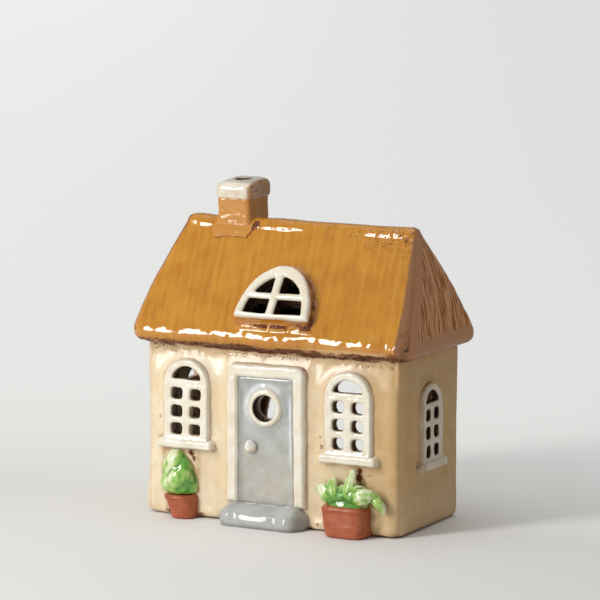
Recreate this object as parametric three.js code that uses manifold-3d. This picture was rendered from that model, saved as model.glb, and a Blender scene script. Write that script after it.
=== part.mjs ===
// A glazed pottery cottage that holds a tea light: slab-built walls and roof, with sprigged windows, door,
// doorstep, chimney and potted plants. Millimetres, +Z up, the front faces -Y.
// The origin is the centre of the base, on the surface that the house stands on.
import * as THREE from "three";
import { mergeVertices } from "three/addons/utils/BufferGeometryUtils.js";
import Module from "manifold-3d";

const wasm = await Module();
wasm.setup();

// Driving dimensions of the house
const WALL = { width: 130, depth: 62, top: 80, thick: 3.6, corner: 5 };
const FLOOR = { thick: 4, footRadius: 3.5, play: 0.3 };
const ROOF = {
  top: 135.5, // crown of the rounded ridge
  ridgeRadius: 4,
  ridgeHalf: 57.6, // half length of the ridge
  noseRadius: 5, // rounding of the eaves' edge, all the way round
  tipOut: 5, // how far it stands out from the front and the rear wall
  tipHalf: 71.7, // half length along the edge, so that the gables lean inward
  rakeBulge: 1.9, // how far a gable swells out of straight, halfway up
  eaveRadius: 8, // rounding of the roof's corners in plan, at the edge
  rakeRadius: 2.5, // and at the ridge
  thick: 4.5,
};
const MOUTH = { halfWidth: 35, spring: 35 }; // arched rear opening for the tea light
const CHIMNEY = {
  x: -33.4, y: 4.7, width: 16.8, depth: 19.4, corner: 2, top: 144.3,
  flare: 3, flareRise: 7, flueWidth: 9, flueDepth: 12.4,
};
const CAP = {
  over: 1, top: 152.9, edge: 3.6, drop: 3.2, corner: 3.4, lean: 0.07, // its top leans to the front
  hole: 5.9, rim: 0.9,
};
const LUTING = 0.3; // layer of slip under a piece that is stuck onto the sloping roof

// Arched lattice windows: sizes in the plane of the wall that they are stuck on
const FRONT_WINDOW = {
  width: 22.8, top: 73.2, paneWidth: 5.6, paneHeight: 5.2, bar: 4,
  paneTop: 60, pitch: 8.2, archBase: 64, sillTop: 36.2,
};
const RIGHT_WINDOW = {
  width: 20.6, top: 66.4, paneWidth: 4.8, paneHeight: 5.4, bar: 3.4,
  paneTop: 55.2, pitch: 8.4, archBase: 57.8, sillTop: 31.4,
};
const LEFT_WINDOW = {
  ...FRONT_WINDOW, top: 65.6, paneTop: 54.2, pitch: 8.5, archBase: 57, sillTop: 29.8,
};
const WINDOW = { relief: 2.2, edge: 0.6, archBar: 3.2, rows: 3, paneCorner: 1.2 };
const SILL = { height: 4, proud: 3.6, over: 2.6, edge: 0.9 };
const FRONT_WINDOW_X = [-43, 39.9];
const SIDE_WINDOW_Y = { right: -2.5, left: 9.5 };

// Sizes up the slope; the panes' margins are to their narrow inner outline
const DORMER = {
  x: 2, halfWidth: 18.6, base: 92.6, rise: 27.2, proud: 5, edge: 0.8,
  margin: 3.6, topMargin: 5.4, footMargin: 2.6,
  mullionX: -1.1, mullion: 3.9, lowPane: 7.6, transom: 2.9,
};

const DOOR = {
  x: -1.6, width: 28.2, top: 67.7, sill: 10, leaf: 1.2,
  bar: 5.6, frameProud: 3, frameCorner: 4, frameEdge: 1.1,
};
const PORTHOLE = { x: -1.6, z: 54.2, hole: 5.5, tube: 1.5, proud: 2.3 };
const KNOB = { x: -9.4, z: 36, radius: 3.5, proud: 3.4 };
const STEP = { left: -23.9, right: 18.8, height: 10, depth: 10.6, ledge: 3.4, end: 7 };

// Half pots: half width along the wall and depth from it, at the rim and at the base
const POT = { x: -45.6, height: 10.6, rim: [7.9, 7.4], base: [6, 6.7], lip: 1.8, baseShift: 1.6 };
const PLANTER = { x: 39.9, height: 13.9, rim: [11, 9.6], base: [9.8, 10.6], baseShift: 1.3 };
const SHRUB = { x: -46.5, top: 31, lump: 0.06 };

// Plain glaze colours; metalness stays 0 on pottery
const glaze = (color, roughness) =>
  new THREE.MeshStandardMaterial({ color, roughness, metalness: 0 });
const GLAZE = {
  wall: () => glaze(0xe6cfae, 0.2),
  roof: () => glaze(0xc08030, 0.18),
  cream: () => glaze(0xf3ecd9, 0.22),
  door: () => glaze(0xb3b6b3, 0.2),
  terracotta: () => glaze(0xb5623f, 0.6),
  leaf: () => glaze(0x72b24e, 0.2),
};

// Derived sizes
const outX = WALL.width / 2;
const outY = WALL.depth / 2;
const inX = outX - WALL.thick;
const inY = outY - WALL.thick;
const FAR = 200; // longer than the house, for tools that cut right through it

// Geometry and solids

const toSolid = (geometry) => {
  const plain = new THREE.BufferGeometry();
  plain.setAttribute("position", geometry.getAttribute("position"));
  if (geometry.index) plain.setIndex(geometry.index);
  const merged = mergeVertices(plain, 1e-4);
  return new wasm.Manifold(
    new wasm.Mesh({
      numProp: 3,
      vertProperties: merged.attributes.position.array,
      triVerts: new Uint32Array(merged.index.array),
    }),
  );
};

const toGeometry = (solid) => {
  const mesh = solid.getMesh();
  const geometry = new THREE.BufferGeometry();
  geometry.setAttribute("position", new THREE.BufferAttribute(mesh.vertProperties, 3));
  geometry.setIndex(new THREE.BufferAttribute(mesh.triVerts, 1));
  geometry.computeVertexNormals();
  return geometry;
};

const piece = (name, solid, material) => {
  const mesh = new THREE.Mesh(toGeometry(solid), material);
  mesh.name = name;
  return mesh;
};

const join = (solids) => solids.reduce((whole, part) => whole.add(part));

// A box between two corners
const box = (low, high) => {
  const size = high.map((value, i) => value - low[i]);
  const centre = high.map((value, i) => (value + low[i]) / 2);
  return new THREE.BoxGeometry(...size).translate(...centre);
};
const block = (low, high) => toSolid(box(low, high));

// Points of an arc, from one angle to another in degrees, both ends included
const arc = (x, y, radius, from, to, steps) =>
  Array.from({ length: steps + 1 }, (_, i) => {
    const angle = THREE.MathUtils.degToRad(from + ((to - from) * i) / steps);
    return new THREE.Vector2(x + radius * Math.cos(angle), y + radius * Math.sin(angle));
  });

const roundedRect = (halfX, halfY, radius, steps) => [
  ...arc(halfX - radius, halfY - radius, radius, 0, 90, steps),
  ...arc(radius - halfX, halfY - radius, radius, 90, 180, steps),
  ...arc(radius - halfX, radius - halfY, radius, 180, 270, steps),
  ...arc(halfX - radius, radius - halfY, radius, 270, 360, steps),
];

const moved = (points, x, y) => points.map((p) => new THREE.Vector2(p.x + x, p.y + y));

// The rounded corner of an outline: an arc that touches both lines that meet at a point
const fillet = (before, at, after, radius, steps) => {
  const a = before.clone().sub(at).normalize();
  const b = after.clone().sub(at).normalize();
  const half = Math.acos(a.dot(b)) / 2;
  const middle = a.clone().add(b).normalize();
  const centre = at.clone().addScaledVector(middle, radius / Math.sin(half));
  const start = at.clone().addScaledVector(a, radius / Math.tan(half)).sub(centre).angle();
  let end = at.clone().addScaledVector(b, radius / Math.tan(half)).sub(centre).angle();
  if (end - start > Math.PI) end -= 2 * Math.PI;
  if (start - end > Math.PI) end += 2 * Math.PI;
  const degrees = THREE.MathUtils.radToDeg;
  return arc(centre.x, centre.y, radius, degrees(start), degrees(end), steps);
};

// A solid through rings of points, all with the same count and the same turn, closed by a fan at each end
const loft = (rings) => {
  const count = rings[0].length;
  const position = rings.flat().flatMap((p) => [p.x, p.y, p.z]);
  const index = [];
  for (let r = 0; r + 1 < rings.length; r++)
    for (let i = 0; i < count; i++) {
      const a = r * count + i;
      const b = r * count + ((i + 1) % count);
      index.push(a, b, b + count, a, b + count, a + count);
    }
  const last = (rings.length - 1) * count;
  for (let i = 1; i + 1 < count; i++) index.push(0, i + 1, i, last, last + i, last + i + 1);
  const geometry = new THREE.BufferGeometry();
  geometry.setAttribute("position", new THREE.Float32BufferAttribute(position, 3));
  geometry.setIndex(index);
  return toSolid(geometry);
};

// Level rings for a loft that rises: each point list at its height
const atHeight = (points, z) => points.map((p) => new THREE.Vector3(p.x, p.y, z));

// An outline with holes, drawn out along the third axis
const drawn = (points, holes, depth, extra = {}) => {
  const shape = new THREE.Shape(points);
  shape.holes = holes.map((hole) => new THREE.Path(hole));
  return new THREE.ExtrudeGeometry(shape, { depth, bevelEnabled: false, ...extra });
};

// Faces that sprigs are stuck on. On each, u runs to the right, v up and w outward.
const face = (u, v, origin) =>
  new THREE.Matrix4()
    .makeBasis(u, v, u.clone().cross(v))
    .setPosition(...origin);
const vec = (x, y, z) => new THREE.Vector3(x, y, z);
const frontFace = face(vec(1, 0, 0), vec(0, 0, 1), [0, -outY, 0]);
const rightFace = face(vec(0, 1, 0), vec(0, 0, 1), [outX, 0, 0]);
const leftFace = face(vec(0, -1, 0), vec(0, 0, 1), [-outX, 0, 0]);

// A sprig: a flat-backed plate with its front edges eased all round, holes included
const sprig = (matrix, points, holes, proud, edge) => {
  const both = drawn(points, holes, 2 * (proud - edge), {
    bevelEnabled: true,
    bevelThickness: edge,
    bevelSize: edge,
    bevelOffset: -edge,
    bevelSegments: 1,
  }).translate(0, 0, edge - proud);
  const outside = box([-FAR, -FAR, 0], [FAR, FAR, proud + 1]);
  return toSolid(both.applyMatrix4(matrix)).intersect(toSolid(outside.applyMatrix4(matrix)));
};

// The tool that pierces what is behind a face: the same holes, drawn right through the wall
const piercing = (matrix, holes, depth) =>
  join(
    holes.map((hole) =>
      toSolid(drawn(hole, [], 2 * depth).translate(0, 0, -depth).applyMatrix4(matrix)),
    ),
  );

// Roof outline, seen from the gable end: a round nose that stands on the wall's top, a slope that
// touches it, and a round ridge. The slopes would meet at the peak, above the ridge's crown.
const noseZ = WALL.top + ROOF.noseRadius;
const noseY = outY + ROOF.tipOut - ROOF.noseRadius;
const ridgeZ = ROOF.top - ROOF.ridgeRadius;
const slope =
  Math.atan2(ridgeZ - noseZ, noseY) -
  Math.asin((ROOF.noseRadius - ROOF.ridgeRadius) / Math.hypot(ridgeZ - noseZ, noseY));
const peak = ridgeZ + ROOF.ridgeRadius / Math.cos(slope);
const lean = (ROOF.tipHalf - ROOF.ridgeHalf) / (ROOF.top - noseZ);

// Half depth and height along the roof's section, from the seam to the crown
const roofSection = () => {
  const facing = 90 - THREE.MathUtils.radToDeg(slope); // where the slope touches the nose and the ridge
  return [
    ...arc(noseY, noseZ, ROOF.noseRadius, -90, facing, 7),
    ...arc(0, ridgeZ, ROOF.ridgeRadius, facing, 90, 4).slice(0, -1),
  ];
};

// Half length at a height: round below the widest line, and above it the gable leans in
const roofHalfLength = (z) => {
  const { tipHalf, ridgeHalf, noseRadius, rakeBulge } = ROOF;
  if (z < noseZ) return tipHalf - noseRadius + Math.sqrt(noseRadius ** 2 - (noseZ - z) ** 2);
  const t = (z - noseZ) / (ROOF.top - noseZ);
  return THREE.MathUtils.lerp(tipHalf, ridgeHalf, t) + 4 * rakeBulge * t * (1 - t);
};

// Rounding of the roof's corners in plan: the wall's own at the seam, fullest at the widest line
const roofCorner = (z) => {
  const { mapLinear, lerp } = THREE.MathUtils;
  const below = Math.min(mapLinear(z, WALL.top, noseZ, 0, 1), 1);
  const above = Math.max(mapLinear(z, noseZ, ROOF.top, 0, 1), 0);
  return lerp(lerp(WALL.corner, ROOF.eaveRadius, below), ROOF.rakeRadius, Math.sqrt(above));
};

const roofOuter = () => {
  const crown = 0.4; // half width of the last ring, on the crown of the ridge
  const slopeRows = 5; // level rings up the slope, where the corner's rounding shrinks
  const section = roofSection();
  const foot = section.findIndex((p) => p.y > noseZ + ROOF.noseRadius / 2);
  const [low, high] = [section[foot], section[foot + 1]];
  const between = Array.from({ length: slopeRows }, (_, i) =>
    low.clone().lerp(high, (i + 1) / (slopeRows + 1)),
  );
  section.splice(foot + 1, 0, ...between);
  const levels = [...section, new THREE.Vector2(crown, ROOF.top)];
  const rings = levels.map(({ x: halfY, y: z }) => {
    const rounding = Math.min(roofCorner(z), 0.8 * halfY);
    const drop = z > ROOF.top - 1 ? ROOF.rakeRadius / 2 : 0;
    return atHeight(roundedRect(roofHalfLength(z) - drop, halfY, rounding, 4), z);
  });
  return loft(rings);
};

// The hollow under the roof: the slopes and the gables at the slab's thickness inside the outer face
const innerPeak = peak - ROOF.thick / Math.cos(slope);
const innerSlopeZ = (y) => innerPeak - Math.abs(y) * Math.tan(slope);
const hollowSection = [
  new THREE.Vector2(-inY, WALL.top - 1),
  new THREE.Vector2(inY, WALL.top - 1),
  new THREE.Vector2(inY, innerSlopeZ(inY)),
  new THREE.Vector2(0, innerPeak),
  new THREE.Vector2(-inY, innerSlopeZ(inY)),
];
const gableInnerX = (z) =>
  ROOF.tipHalf - lean * (z - noseZ) - ROOF.thick * Math.hypot(1, lean);
const gableBendZ = noseZ + (gableInnerX(noseZ) - inX) / lean;
const gableSection = [
  new THREE.Vector2(-inX, WALL.top - 1),
  new THREE.Vector2(inX, WALL.top - 1),
  new THREE.Vector2(inX, gableBendZ),
  new THREE.Vector2(gableInnerX(peak), peak),
  new THREE.Vector2(-gableInnerX(peak), peak),
  new THREE.Vector2(-inX, gableBendZ),
];
const alongX = new THREE.Matrix4().makeBasis(vec(0, 1, 0), vec(0, 0, 1), vec(1, 0, 0));
const alongY = new THREE.Matrix4().makeBasis(vec(1, 0, 0), vec(0, 0, 1), vec(0, -1, 0));
const prism = (section, matrix) =>
  toSolid(drawn(section, [], FAR).translate(0, 0, -FAR / 2).applyMatrix4(matrix));
const underSlopes = prism(hollowSection, alongX);
const betweenGables = prism(gableSection, alongY);

// Windows

const lowerPanes = (w) => {
  const step = (w.paneWidth + w.bar) / 2;
  const centres = [-step, step];
  return Array.from({ length: WINDOW.rows }, (_, row) =>
    centres.map((x) =>
      moved(
        roundedRect(w.paneWidth / 2, w.paneHeight / 2, WINDOW.paneCorner, 2),
        x,
        w.paneTop - w.paneHeight / 2 - row * w.pitch,
      ),
    ),
  ).flat();
};

// The pane in the arch is a segment of a circle inside the window's round head
const archPane = (w) => {
  const spring = w.top - w.width / 2;
  const radius = w.width / 2 - WINDOW.archBar;
  const half = THREE.MathUtils.radToDeg(Math.acos((w.archBase - spring) / radius));
  const round = arc(0, spring, radius, 90 - half, 90 + half, 8);
  const inset = 0.8;
  round[0].x -= inset / 2;
  round[0].y += inset / 2;
  round[8].x += inset / 2;
  round[8].y += inset / 2;
  const [first, last] = [round[0], round[8]];
  return [
    ...round,
    new THREE.Vector2(last.x + inset, w.archBase),
    new THREE.Vector2(first.x - inset, w.archBase),
  ];
};

const panesAt = (w, along) =>
  [...lowerPanes(w), archPane(w)].map((pane) => moved(pane, along, 0));

const archedOutline = (w) => [
  new THREE.Vector2(-w.width / 2, w.sillTop),
  new THREE.Vector2(w.width / 2, w.sillTop),
  ...arc(0, w.top - w.width / 2, w.width / 2, 0, 180, 14),
];

const archedWindow = (name, matrix, w, along) =>
  piece(
    name,
    sprig(matrix, moved(archedOutline(w), along, 0), panesAt(w, along), WINDOW.relief, WINDOW.edge),
    GLAZE.cream(),
  );

const windowSill = (name, matrix, w, along) => {
  const middle = w.sillTop - SILL.height / 2;
  const outline = roundedRect(w.width / 2 + SILL.over, SILL.height / 2, 1, 2);
  return piece(
    name,
    sprig(matrix, moved(outline, along, middle), [], SILL.proud, SILL.edge),
    GLAZE.cream(),
  );
};

const portholeHole = moved(arc(0, 0, PORTHOLE.hole, 0, 345, 23), PORTHOLE.x, PORTHOLE.z);

// Walls, mitred at the corners, standing on the floor slab

const wallPlan = (halfLong, halfShort) => [
  ...arc(halfLong - WALL.corner, WALL.corner - halfShort, WALL.corner, 315, 270, 3).reverse(),
  new THREE.Vector2(halfLong - WALL.thick, WALL.thick - halfShort),
  new THREE.Vector2(WALL.thick - halfLong, WALL.thick - halfShort),
  ...arc(WALL.corner - halfLong, WALL.corner - halfShort, WALL.corner, 270, 225, 3).reverse(),
];

const wallSlab = (halfLong, halfShort, turn) => {
  const points = wallPlan(halfLong, halfShort).map(turn);
  const height = WALL.top - FLOOR.footRadius;
  return toSolid(drawn(points, [], height).translate(0, 0, FLOOR.footRadius));
};

const mouthOutline = [
  new THREE.Vector2(-MOUTH.halfWidth, -1),
  new THREE.Vector2(MOUTH.halfWidth, -1),
  ...arc(0, MOUTH.spring, MOUTH.halfWidth, 0, 180, 24),
];

const walls = () => {
  const group = new THREE.Group();
  const through = WALL.thick + 1;
  const frontHoles = FRONT_WINDOW_X.flatMap((x) => panesAt(FRONT_WINDOW, x));
  const front = wallSlab(outX, outY, (p) => p).subtract(
    piercing(frontFace, [...frontHoles, portholeHole], through),
  );
  const rear = wallSlab(outX, outY, (p) => new THREE.Vector2(-p.x, -p.y)).subtract(
    prism(mouthOutline, alongY).intersect(block([-FAR, 0, -FAR], [FAR, FAR, FAR])),
  );
  const right = wallSlab(outY, outX, (p) => new THREE.Vector2(-p.y, p.x)).subtract(
    piercing(rightFace, panesAt(RIGHT_WINDOW, SIDE_WINDOW_Y.right), through),
  );
  const left = wallSlab(outY, outX, (p) => new THREE.Vector2(p.y, -p.x)).subtract(
    piercing(leftFace, panesAt(LEFT_WINDOW, -SIDE_WINDOW_Y.left), through),
  );
  group.add(
    piece("front_wall", front, GLAZE.wall()),
    piece("rear_wall", rear, GLAZE.wall()),
    piece("right_wall", right, GLAZE.wall()),
    piece("left_wall", left, GLAZE.wall()),
  );
  return group;
};

// The floor slab's lower edge is rounded like the foot of a cast body. The walls stand on the rim where
// the rounding ends, and the floor between them is raised a little, which keys them in place.
const floorSlab = () => {
  const ring = (inset, z) =>
    atHeight(roundedRect(outX - inset, outY - inset, WALL.corner - inset, 5), z);
  const steps = 4;
  const rings = Array.from({ length: steps + 1 }, (_, i) => {
    const angle = (Math.PI / 2) * (i / steps);
    return ring(FLOOR.footRadius * (1 - Math.sin(angle)), FLOOR.footRadius * (1 - Math.cos(angle)));
  });
  const raised = roundedRect(inX - FLOOR.play, inY - FLOOR.play, 1, 3);
  const floor = loft([atHeight(raised, FLOOR.footRadius / 2), atHeight(raised, FLOOR.thick)]);
  return piece("floor_slab", loft(rings).add(floor), GLAZE.wall());
};

// Dormer: a thick D-shaped plate that lies on the front slope, pierced with the slope behind it
const upSlope = vec(0, Math.cos(slope), Math.sin(slope));
const outOfSlope = vec(0, -Math.sin(slope), Math.cos(slope));
const dormerFoot = (lift) => {
  const y = -(peak - DORMER.base) / Math.tan(slope);
  return vec(DORMER.x, y, DORMER.base).addScaledVector(outOfSlope, lift);
};
const slopeFace = (lift) => face(vec(1, 0, 0), upSlope, dormerFoot(lift).toArray());

const dormerOutline = (inset, topInset, cut) => {
  const halfWidth = DORMER.halfWidth - inset;
  const rise = DORMER.rise - topInset;
  const flat = Math.asin(cut / rise);
  return Array.from({ length: 17 }, (_, i) => {
    const angle = flat + (Math.PI - 2 * flat) * (i / 16);
    return new THREE.Vector2(halfWidth * Math.cos(angle), rise * Math.sin(angle));
  });
};

// The four panes: the inner half ellipse, parted by a mullion and a transom
const dormerPanes = () => {
  const inner = dormerOutline(DORMER.margin, DORMER.topMargin, DORMER.footMargin);
  const inside = toSolid(drawn(inner, [], 1));
  const barLow = DORMER.mullionX - DORMER.mullion / 2;
  const barHigh = DORMER.mullionX + DORMER.mullion / 2;
  const split = DORMER.footMargin + DORMER.lowPane;
  const columns = [[-FAR, barLow], [barHigh, FAR]];
  const rows = [[-FAR, split], [split + DORMER.transom, FAR]];
  return columns.flatMap(([x0, x1]) =>
    rows.map(([v0, v1]) => paneOutline(inside.intersect(block([x0, v0, -1], [x1, v1, 2])))),
  );
};

// The outline of a thin flat solid: its top corners, in order round their middle
const paneOutline = (solid) => {
  const { vertProperties } = solid.getMesh();
  const corners = [];
  for (let i = 0; i < vertProperties.length; i += 3)
    if (vertProperties[i + 2] > 0.5)
      corners.push(new THREE.Vector2(vertProperties[i], vertProperties[i + 1]));
  const middle = corners
    .reduce((sum, p) => sum.add(p), new THREE.Vector2())
    .divideScalar(corners.length);
  const turn = (p) => p.clone().sub(middle).angle();
  return corners.sort((a, b) => turn(a) - turn(b));
};

const dormer = () =>
  piece(
    "dormer_window",
    sprig(slopeFace(LUTING), dormerOutline(0, 0, 0.8), dormerPanes(), DORMER.proud, DORMER.edge),
    GLAZE.cream(),
  );

// Chimney

const flueTool = () => {
  const { x, y, flueWidth, flueDepth } = CHIMNEY;
  return block(
    [x - flueWidth / 2, y - flueDepth / 2, noseZ],
    [x + flueWidth / 2, y + flueDepth / 2, CHIMNEY.top + 1],
  );
};

// The stack's outline, with points along its straight sides so that it can follow the ridge
const finePlan = (grow) => {
  const { x, y, width, depth, corner } = CHIMNEY;
  const corners = moved(roundedRect(width / 2 + grow, depth / 2 + grow, corner + grow / 2, 3), x, y);
  const stretches = 8;
  return corners.flatMap((p, i) => {
    const next = corners[(i + 1) % corners.length];
    const parts = p.distanceTo(next) > 2 * CHIMNEY.corner ? stretches : 1;
    return Array.from({ length: parts }, (_, k) => p.clone().lerp(next, k / parts));
  });
};

// Height of the roof's outer face at a distance from the ridge line
const roofSurface = (y) => {
  const bend = ROOF.ridgeRadius * Math.sin(slope);
  if (Math.abs(y) > bend) return peak - Math.abs(y) * Math.tan(slope);
  return ROOF.top - ROOF.ridgeRadius + Math.sqrt(ROOF.ridgeRadius ** 2 - y ** 2);
};

const chimneyStack = () => {
  // The foot flares out onto the roof, and its underside is a saddle over the ridge
  const steps = 4;
  const sunk = 3; // the loft starts this far under the roof's face, and the saddle trims it
  const follow = (grow, rise) =>
    finePlan(grow).map((p) => vec(p.x, p.y, roofSurface(p.y) + rise));
  const foot = Array.from({ length: steps + 1 }, (_, i) => {
    const t = i / steps;
    return follow(CHIMNEY.flare * (1 - t) ** 2, CHIMNEY.flareRise * t);
  });
  const whole = loft([
    atHeight(finePlan(CHIMNEY.flare), noseZ + CHIMNEY.y),
    follow(CHIMNEY.flare, -sunk),
    ...foot,
    atHeight(finePlan(0), CHIMNEY.top),
  ]);
  const away = (y) => new THREE.Vector2(y, peak + LUTING / Math.cos(slope) - FAR * Math.tan(slope));
  const crown = new THREE.Vector2(0, peak + LUTING / Math.cos(slope));
  const crest = fillet(away(FAR), crown, away(-FAR), ROOF.ridgeRadius + LUTING, 8);
  return piece(
    "chimney_stack",
    whole.subtract(prism([away(-FAR), away(FAR), ...crest], alongX)).subtract(flueTool()),
    GLAZE.roof(),
  );
};

// A pillow of clay: rounded over at the top, which leans, and with a soft rim round the smoke hole
const chimneyCap = () => {
  const { over, top, edge, drop, corner, lean, hole, rim } = CAP;
  const { x, y, width, depth } = CHIMNEY;
  const ring = (grow, z) => {
    const tilt = (lean * (z - CHIMNEY.top)) / (top - CHIMNEY.top);
    return roundedRect(width / 2 + grow, depth / 2 + grow, corner, 4).map((p) =>
      vec(x + p.x, y + p.y, z + tilt * p.y),
    );
  };
  const steps = 5;
  const round = Array.from({ length: steps + 1 }, (_, i) => {
    const angle = (Math.PI / 2) * (i / steps);
    return ring(over - edge * (1 - Math.cos(angle)), top - drop * (1 - Math.sin(angle)));
  });
  const pillow = loft([ring(over - 0.5, CHIMNEY.top), ring(over, CHIMNEY.top + 0.6), ...round]);
  const drill = (radius, lowRadius, height) =>
    toSolid(
      new THREE.CylinderGeometry(radius, lowRadius, height, 24)
        .rotateX(Math.PI / 2)
        .translate(x, y, top),
    );
  const smokeHole = drill(hole / 2, hole / 2, 20).add(drill(hole / 2 + 2 * rim, hole / 2, 2 * rim));
  return piece("chimney_cap", pillow.subtract(smokeHole), GLAZE.cream());
};

// Roof: two slope slabs that meet at the ridge, with a gable slab set between them at each end
const roof = () => {
  const group = new THREE.Group();
  const outer = roofOuter();
  const slopes = outer.subtract(underSlopes).subtract(flueTool());
  const gables = outer.intersect(underSlopes).subtract(betweenGables);
  const pierced = piercing(slopeFace(0), dormerPanes(), ROOF.thick + 2);
  const frontHalf = block([-FAR, -FAR, 0], [FAR, 0, FAR]);
  const rearHalf = block([-FAR, 0, 0], [FAR, FAR, FAR]);
  const rightHalf = block([ROOF.ridgeHalf / 2, -FAR, 0], [FAR, FAR, FAR]);
  const leftHalf = block([-FAR, -FAR, 0], [-ROOF.ridgeHalf / 2, FAR, FAR]);
  group.add(
    piece("front_roof_slope", slopes.intersect(frontHalf).subtract(pierced), GLAZE.roof()),
    piece("rear_roof_slope", slopes.intersect(rearHalf), GLAZE.roof()),
    piece("right_gable", gables.intersect(rightHalf), GLAZE.roof()),
    piece("left_gable", gables.intersect(leftHalf), GLAZE.roof()),
    dormer(),
    chimneyStack(),
    chimneyCap(),
  );
  return group;
};

// Door: leaf, rounded frame, porthole ring and knob, all sprigged onto the front wall

const doorFrame = () => {
  const { x, width, top, sill, bar, frameCorner } = DOOR;
  const half = width / 2;
  const outer = half + bar;
  const outline = [
    new THREE.Vector2(outer, sill),
    ...arc(outer - frameCorner, top + bar - frameCorner, frameCorner, 0, 90, 3),
    ...arc(frameCorner - outer, top + bar - frameCorner, frameCorner, 90, 180, 3),
    new THREE.Vector2(-outer, sill),
    new THREE.Vector2(-half, sill),
    new THREE.Vector2(-half, top),
    new THREE.Vector2(half, top),
    new THREE.Vector2(half, sill),
  ];
  return piece(
    "door_frame",
    sprig(frontFace, moved(outline, x, 0), [], DOOR.frameProud, DOOR.frameEdge),
    GLAZE.cream(),
  );
};

const doorLeaf = () => {
  const { x, width, top, sill, leaf } = DOOR;
  const outline = [
    new THREE.Vector2(x - width / 2, sill),
    new THREE.Vector2(x + width / 2, sill),
    new THREE.Vector2(x + width / 2, top),
    new THREE.Vector2(x - width / 2, top),
  ];
  const slab = drawn(outline, [portholeHole], leaf).applyMatrix4(frontFace);
  return piece("door_leaf", toSolid(slab), GLAZE.door());
};

const portholeRing = () => {
  // A half-round ring that stands on the leaf, turned about the hole's axis
  const { hole, tube, proud } = PORTHOLE;
  const width = 2 * tube;
  const profile = [
    new THREE.Vector2(hole, 0),
    new THREE.Vector2(hole + width, 0),
    new THREE.Vector2(hole + width, proud * 0.45),
    new THREE.Vector2(hole + width * 0.8, proud * 0.85),
    new THREE.Vector2(hole + width * 0.5, proud),
    new THREE.Vector2(hole + width * 0.2, proud * 0.85),
    new THREE.Vector2(hole, proud * 0.45),
    new THREE.Vector2(hole, 0),
  ];
  const ring = new THREE.LatheGeometry(profile, 24)
    .applyMatrix4(new THREE.Matrix4().makeBasis(vec(1, 0, 0), vec(0, 0, 1), vec(0, -1, 0)))
    .translate(PORTHOLE.x, PORTHOLE.z, DOOR.leaf)
    .applyMatrix4(frontFace);
  return piece("porthole_ring", toSolid(ring), GLAZE.cream());
};

const doorKnob = () => {
  const { x, z, radius, proud } = KNOB;
  const neck = 0.7;
  const profile = [
    new THREE.Vector2(0, 0),
    new THREE.Vector2(radius * 0.8, 0),
    new THREE.Vector2(radius * 0.8, neck),
    ...Array.from({ length: 5 }, (_, i) => {
      const angle = (Math.PI / 2) * (i / 5);
      return new THREE.Vector2(radius * Math.cos(angle), neck + (proud - neck) * Math.sin(angle));
    }),
    new THREE.Vector2(0, proud),
  ];
  const knob = new THREE.LatheGeometry(profile, 16)
    .applyMatrix4(new THREE.Matrix4().makeBasis(vec(1, 0, 0), vec(0, 0, 1), vec(0, -1, 0)))
    .translate(x, z, DOOR.leaf)
    .applyMatrix4(frontFace);
  return piece("door_knob", toSolid(knob), GLAZE.cream());
};

// A worn clay step: flat by the door, rounded down to the front and swelling into soft ends
const doorstep = () => {
  const { left, right, height, depth, ledge, end } = STEP;
  const section = [
    [0, height], [ledge, height], [depth - 4.6, height * 0.9], [depth - 2.5, height * 0.77],
    [depth - 0.8, height * 0.58], [depth, height * 0.34], [depth, 1.2], [depth - 1, 0], [0, 0],
  ];
  const stations = [0, 0.6, 2, 4.2, end];
  const whole = [...stations, ...stations.map((s) => right - left - s).reverse()];
  const rings = whole.map((along) => {
    const fromEnd = Math.min(along, right - left - along);
    const t = 1 - Math.min(fromEnd / end, 1);
    const fullness = Math.sqrt(1 - t * t * 0.86);
    const tall = 0.25 + 0.75 * fullness;
    return section.map(([out, z]) => vec(left + along, -outY - out * fullness, z * tall));
  });
  return piece("doorstep", loft(rings), GLAZE.door());
};

// Pots and plants

// Half of a pot against the wall: an outline with a flat back, from the wall's face outward
const halfPotRing = ([halfWidth, proud], power, z, x) =>
  Array.from({ length: 15 }, (_, i) => {
    const angle = Math.PI + (Math.PI * i) / 14;
    const [c, s] = [Math.cos(angle), Math.sin(angle)];
    return vec(
      x + halfWidth * Math.sign(c) * Math.abs(c) ** power,
      -outY - proud * Math.abs(s) ** power,
      z,
    );
  });

const flowerPot = () => {
  const { x, height, rim, base, lip, baseShift } = POT;
  const round = 0.8;
  const under = rim.map((value, i) => THREE.MathUtils.lerp(base[i], value, 0.72));
  const less = (pair, by) => pair.map((value) => value - by);
  return piece(
    "flower_pot",
    loft([
      halfPotRing(less(base, 0.7), round, 0, x + baseShift),
      halfPotRing(base, round, 0.8, x + baseShift),
      halfPotRing(under, round, height - lip - 0.4, x + baseShift / 4),
      halfPotRing(rim, round, height - lip, x),
      halfPotRing(rim, round, height - 0.5, x),
      halfPotRing(less(rim, 0.6), round, height, x),
    ]),
    GLAZE.terracotta(),
  );
};

const planterTrough = () => {
  const { x, height, rim, base, baseShift } = PLANTER;
  const square = 0.45;
  const level = (z) => z / height;
  const between = (z) =>
    base.map((value, i) => THREE.MathUtils.lerp(value, rim[i], level(z)) + 0.3);
  const less = (pair, by) => pair.map((value) => value - by);
  return piece(
    "planter_trough",
    loft([
      halfPotRing(less(base, 0.9), square, 0, x + baseShift),
      halfPotRing(base, square, 1, x + baseShift),
      halfPotRing(between(5), square, 5, x + baseShift * (1 - level(5))),
      halfPotRing(rim, square, height - 2.6, x),
      halfPotRing(less(rim, -0.3), square, height - 1.2, x),
      halfPotRing(less(rim, 0.5), square, height, x),
    ]),
    GLAZE.terracotta(),
  );
};

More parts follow.
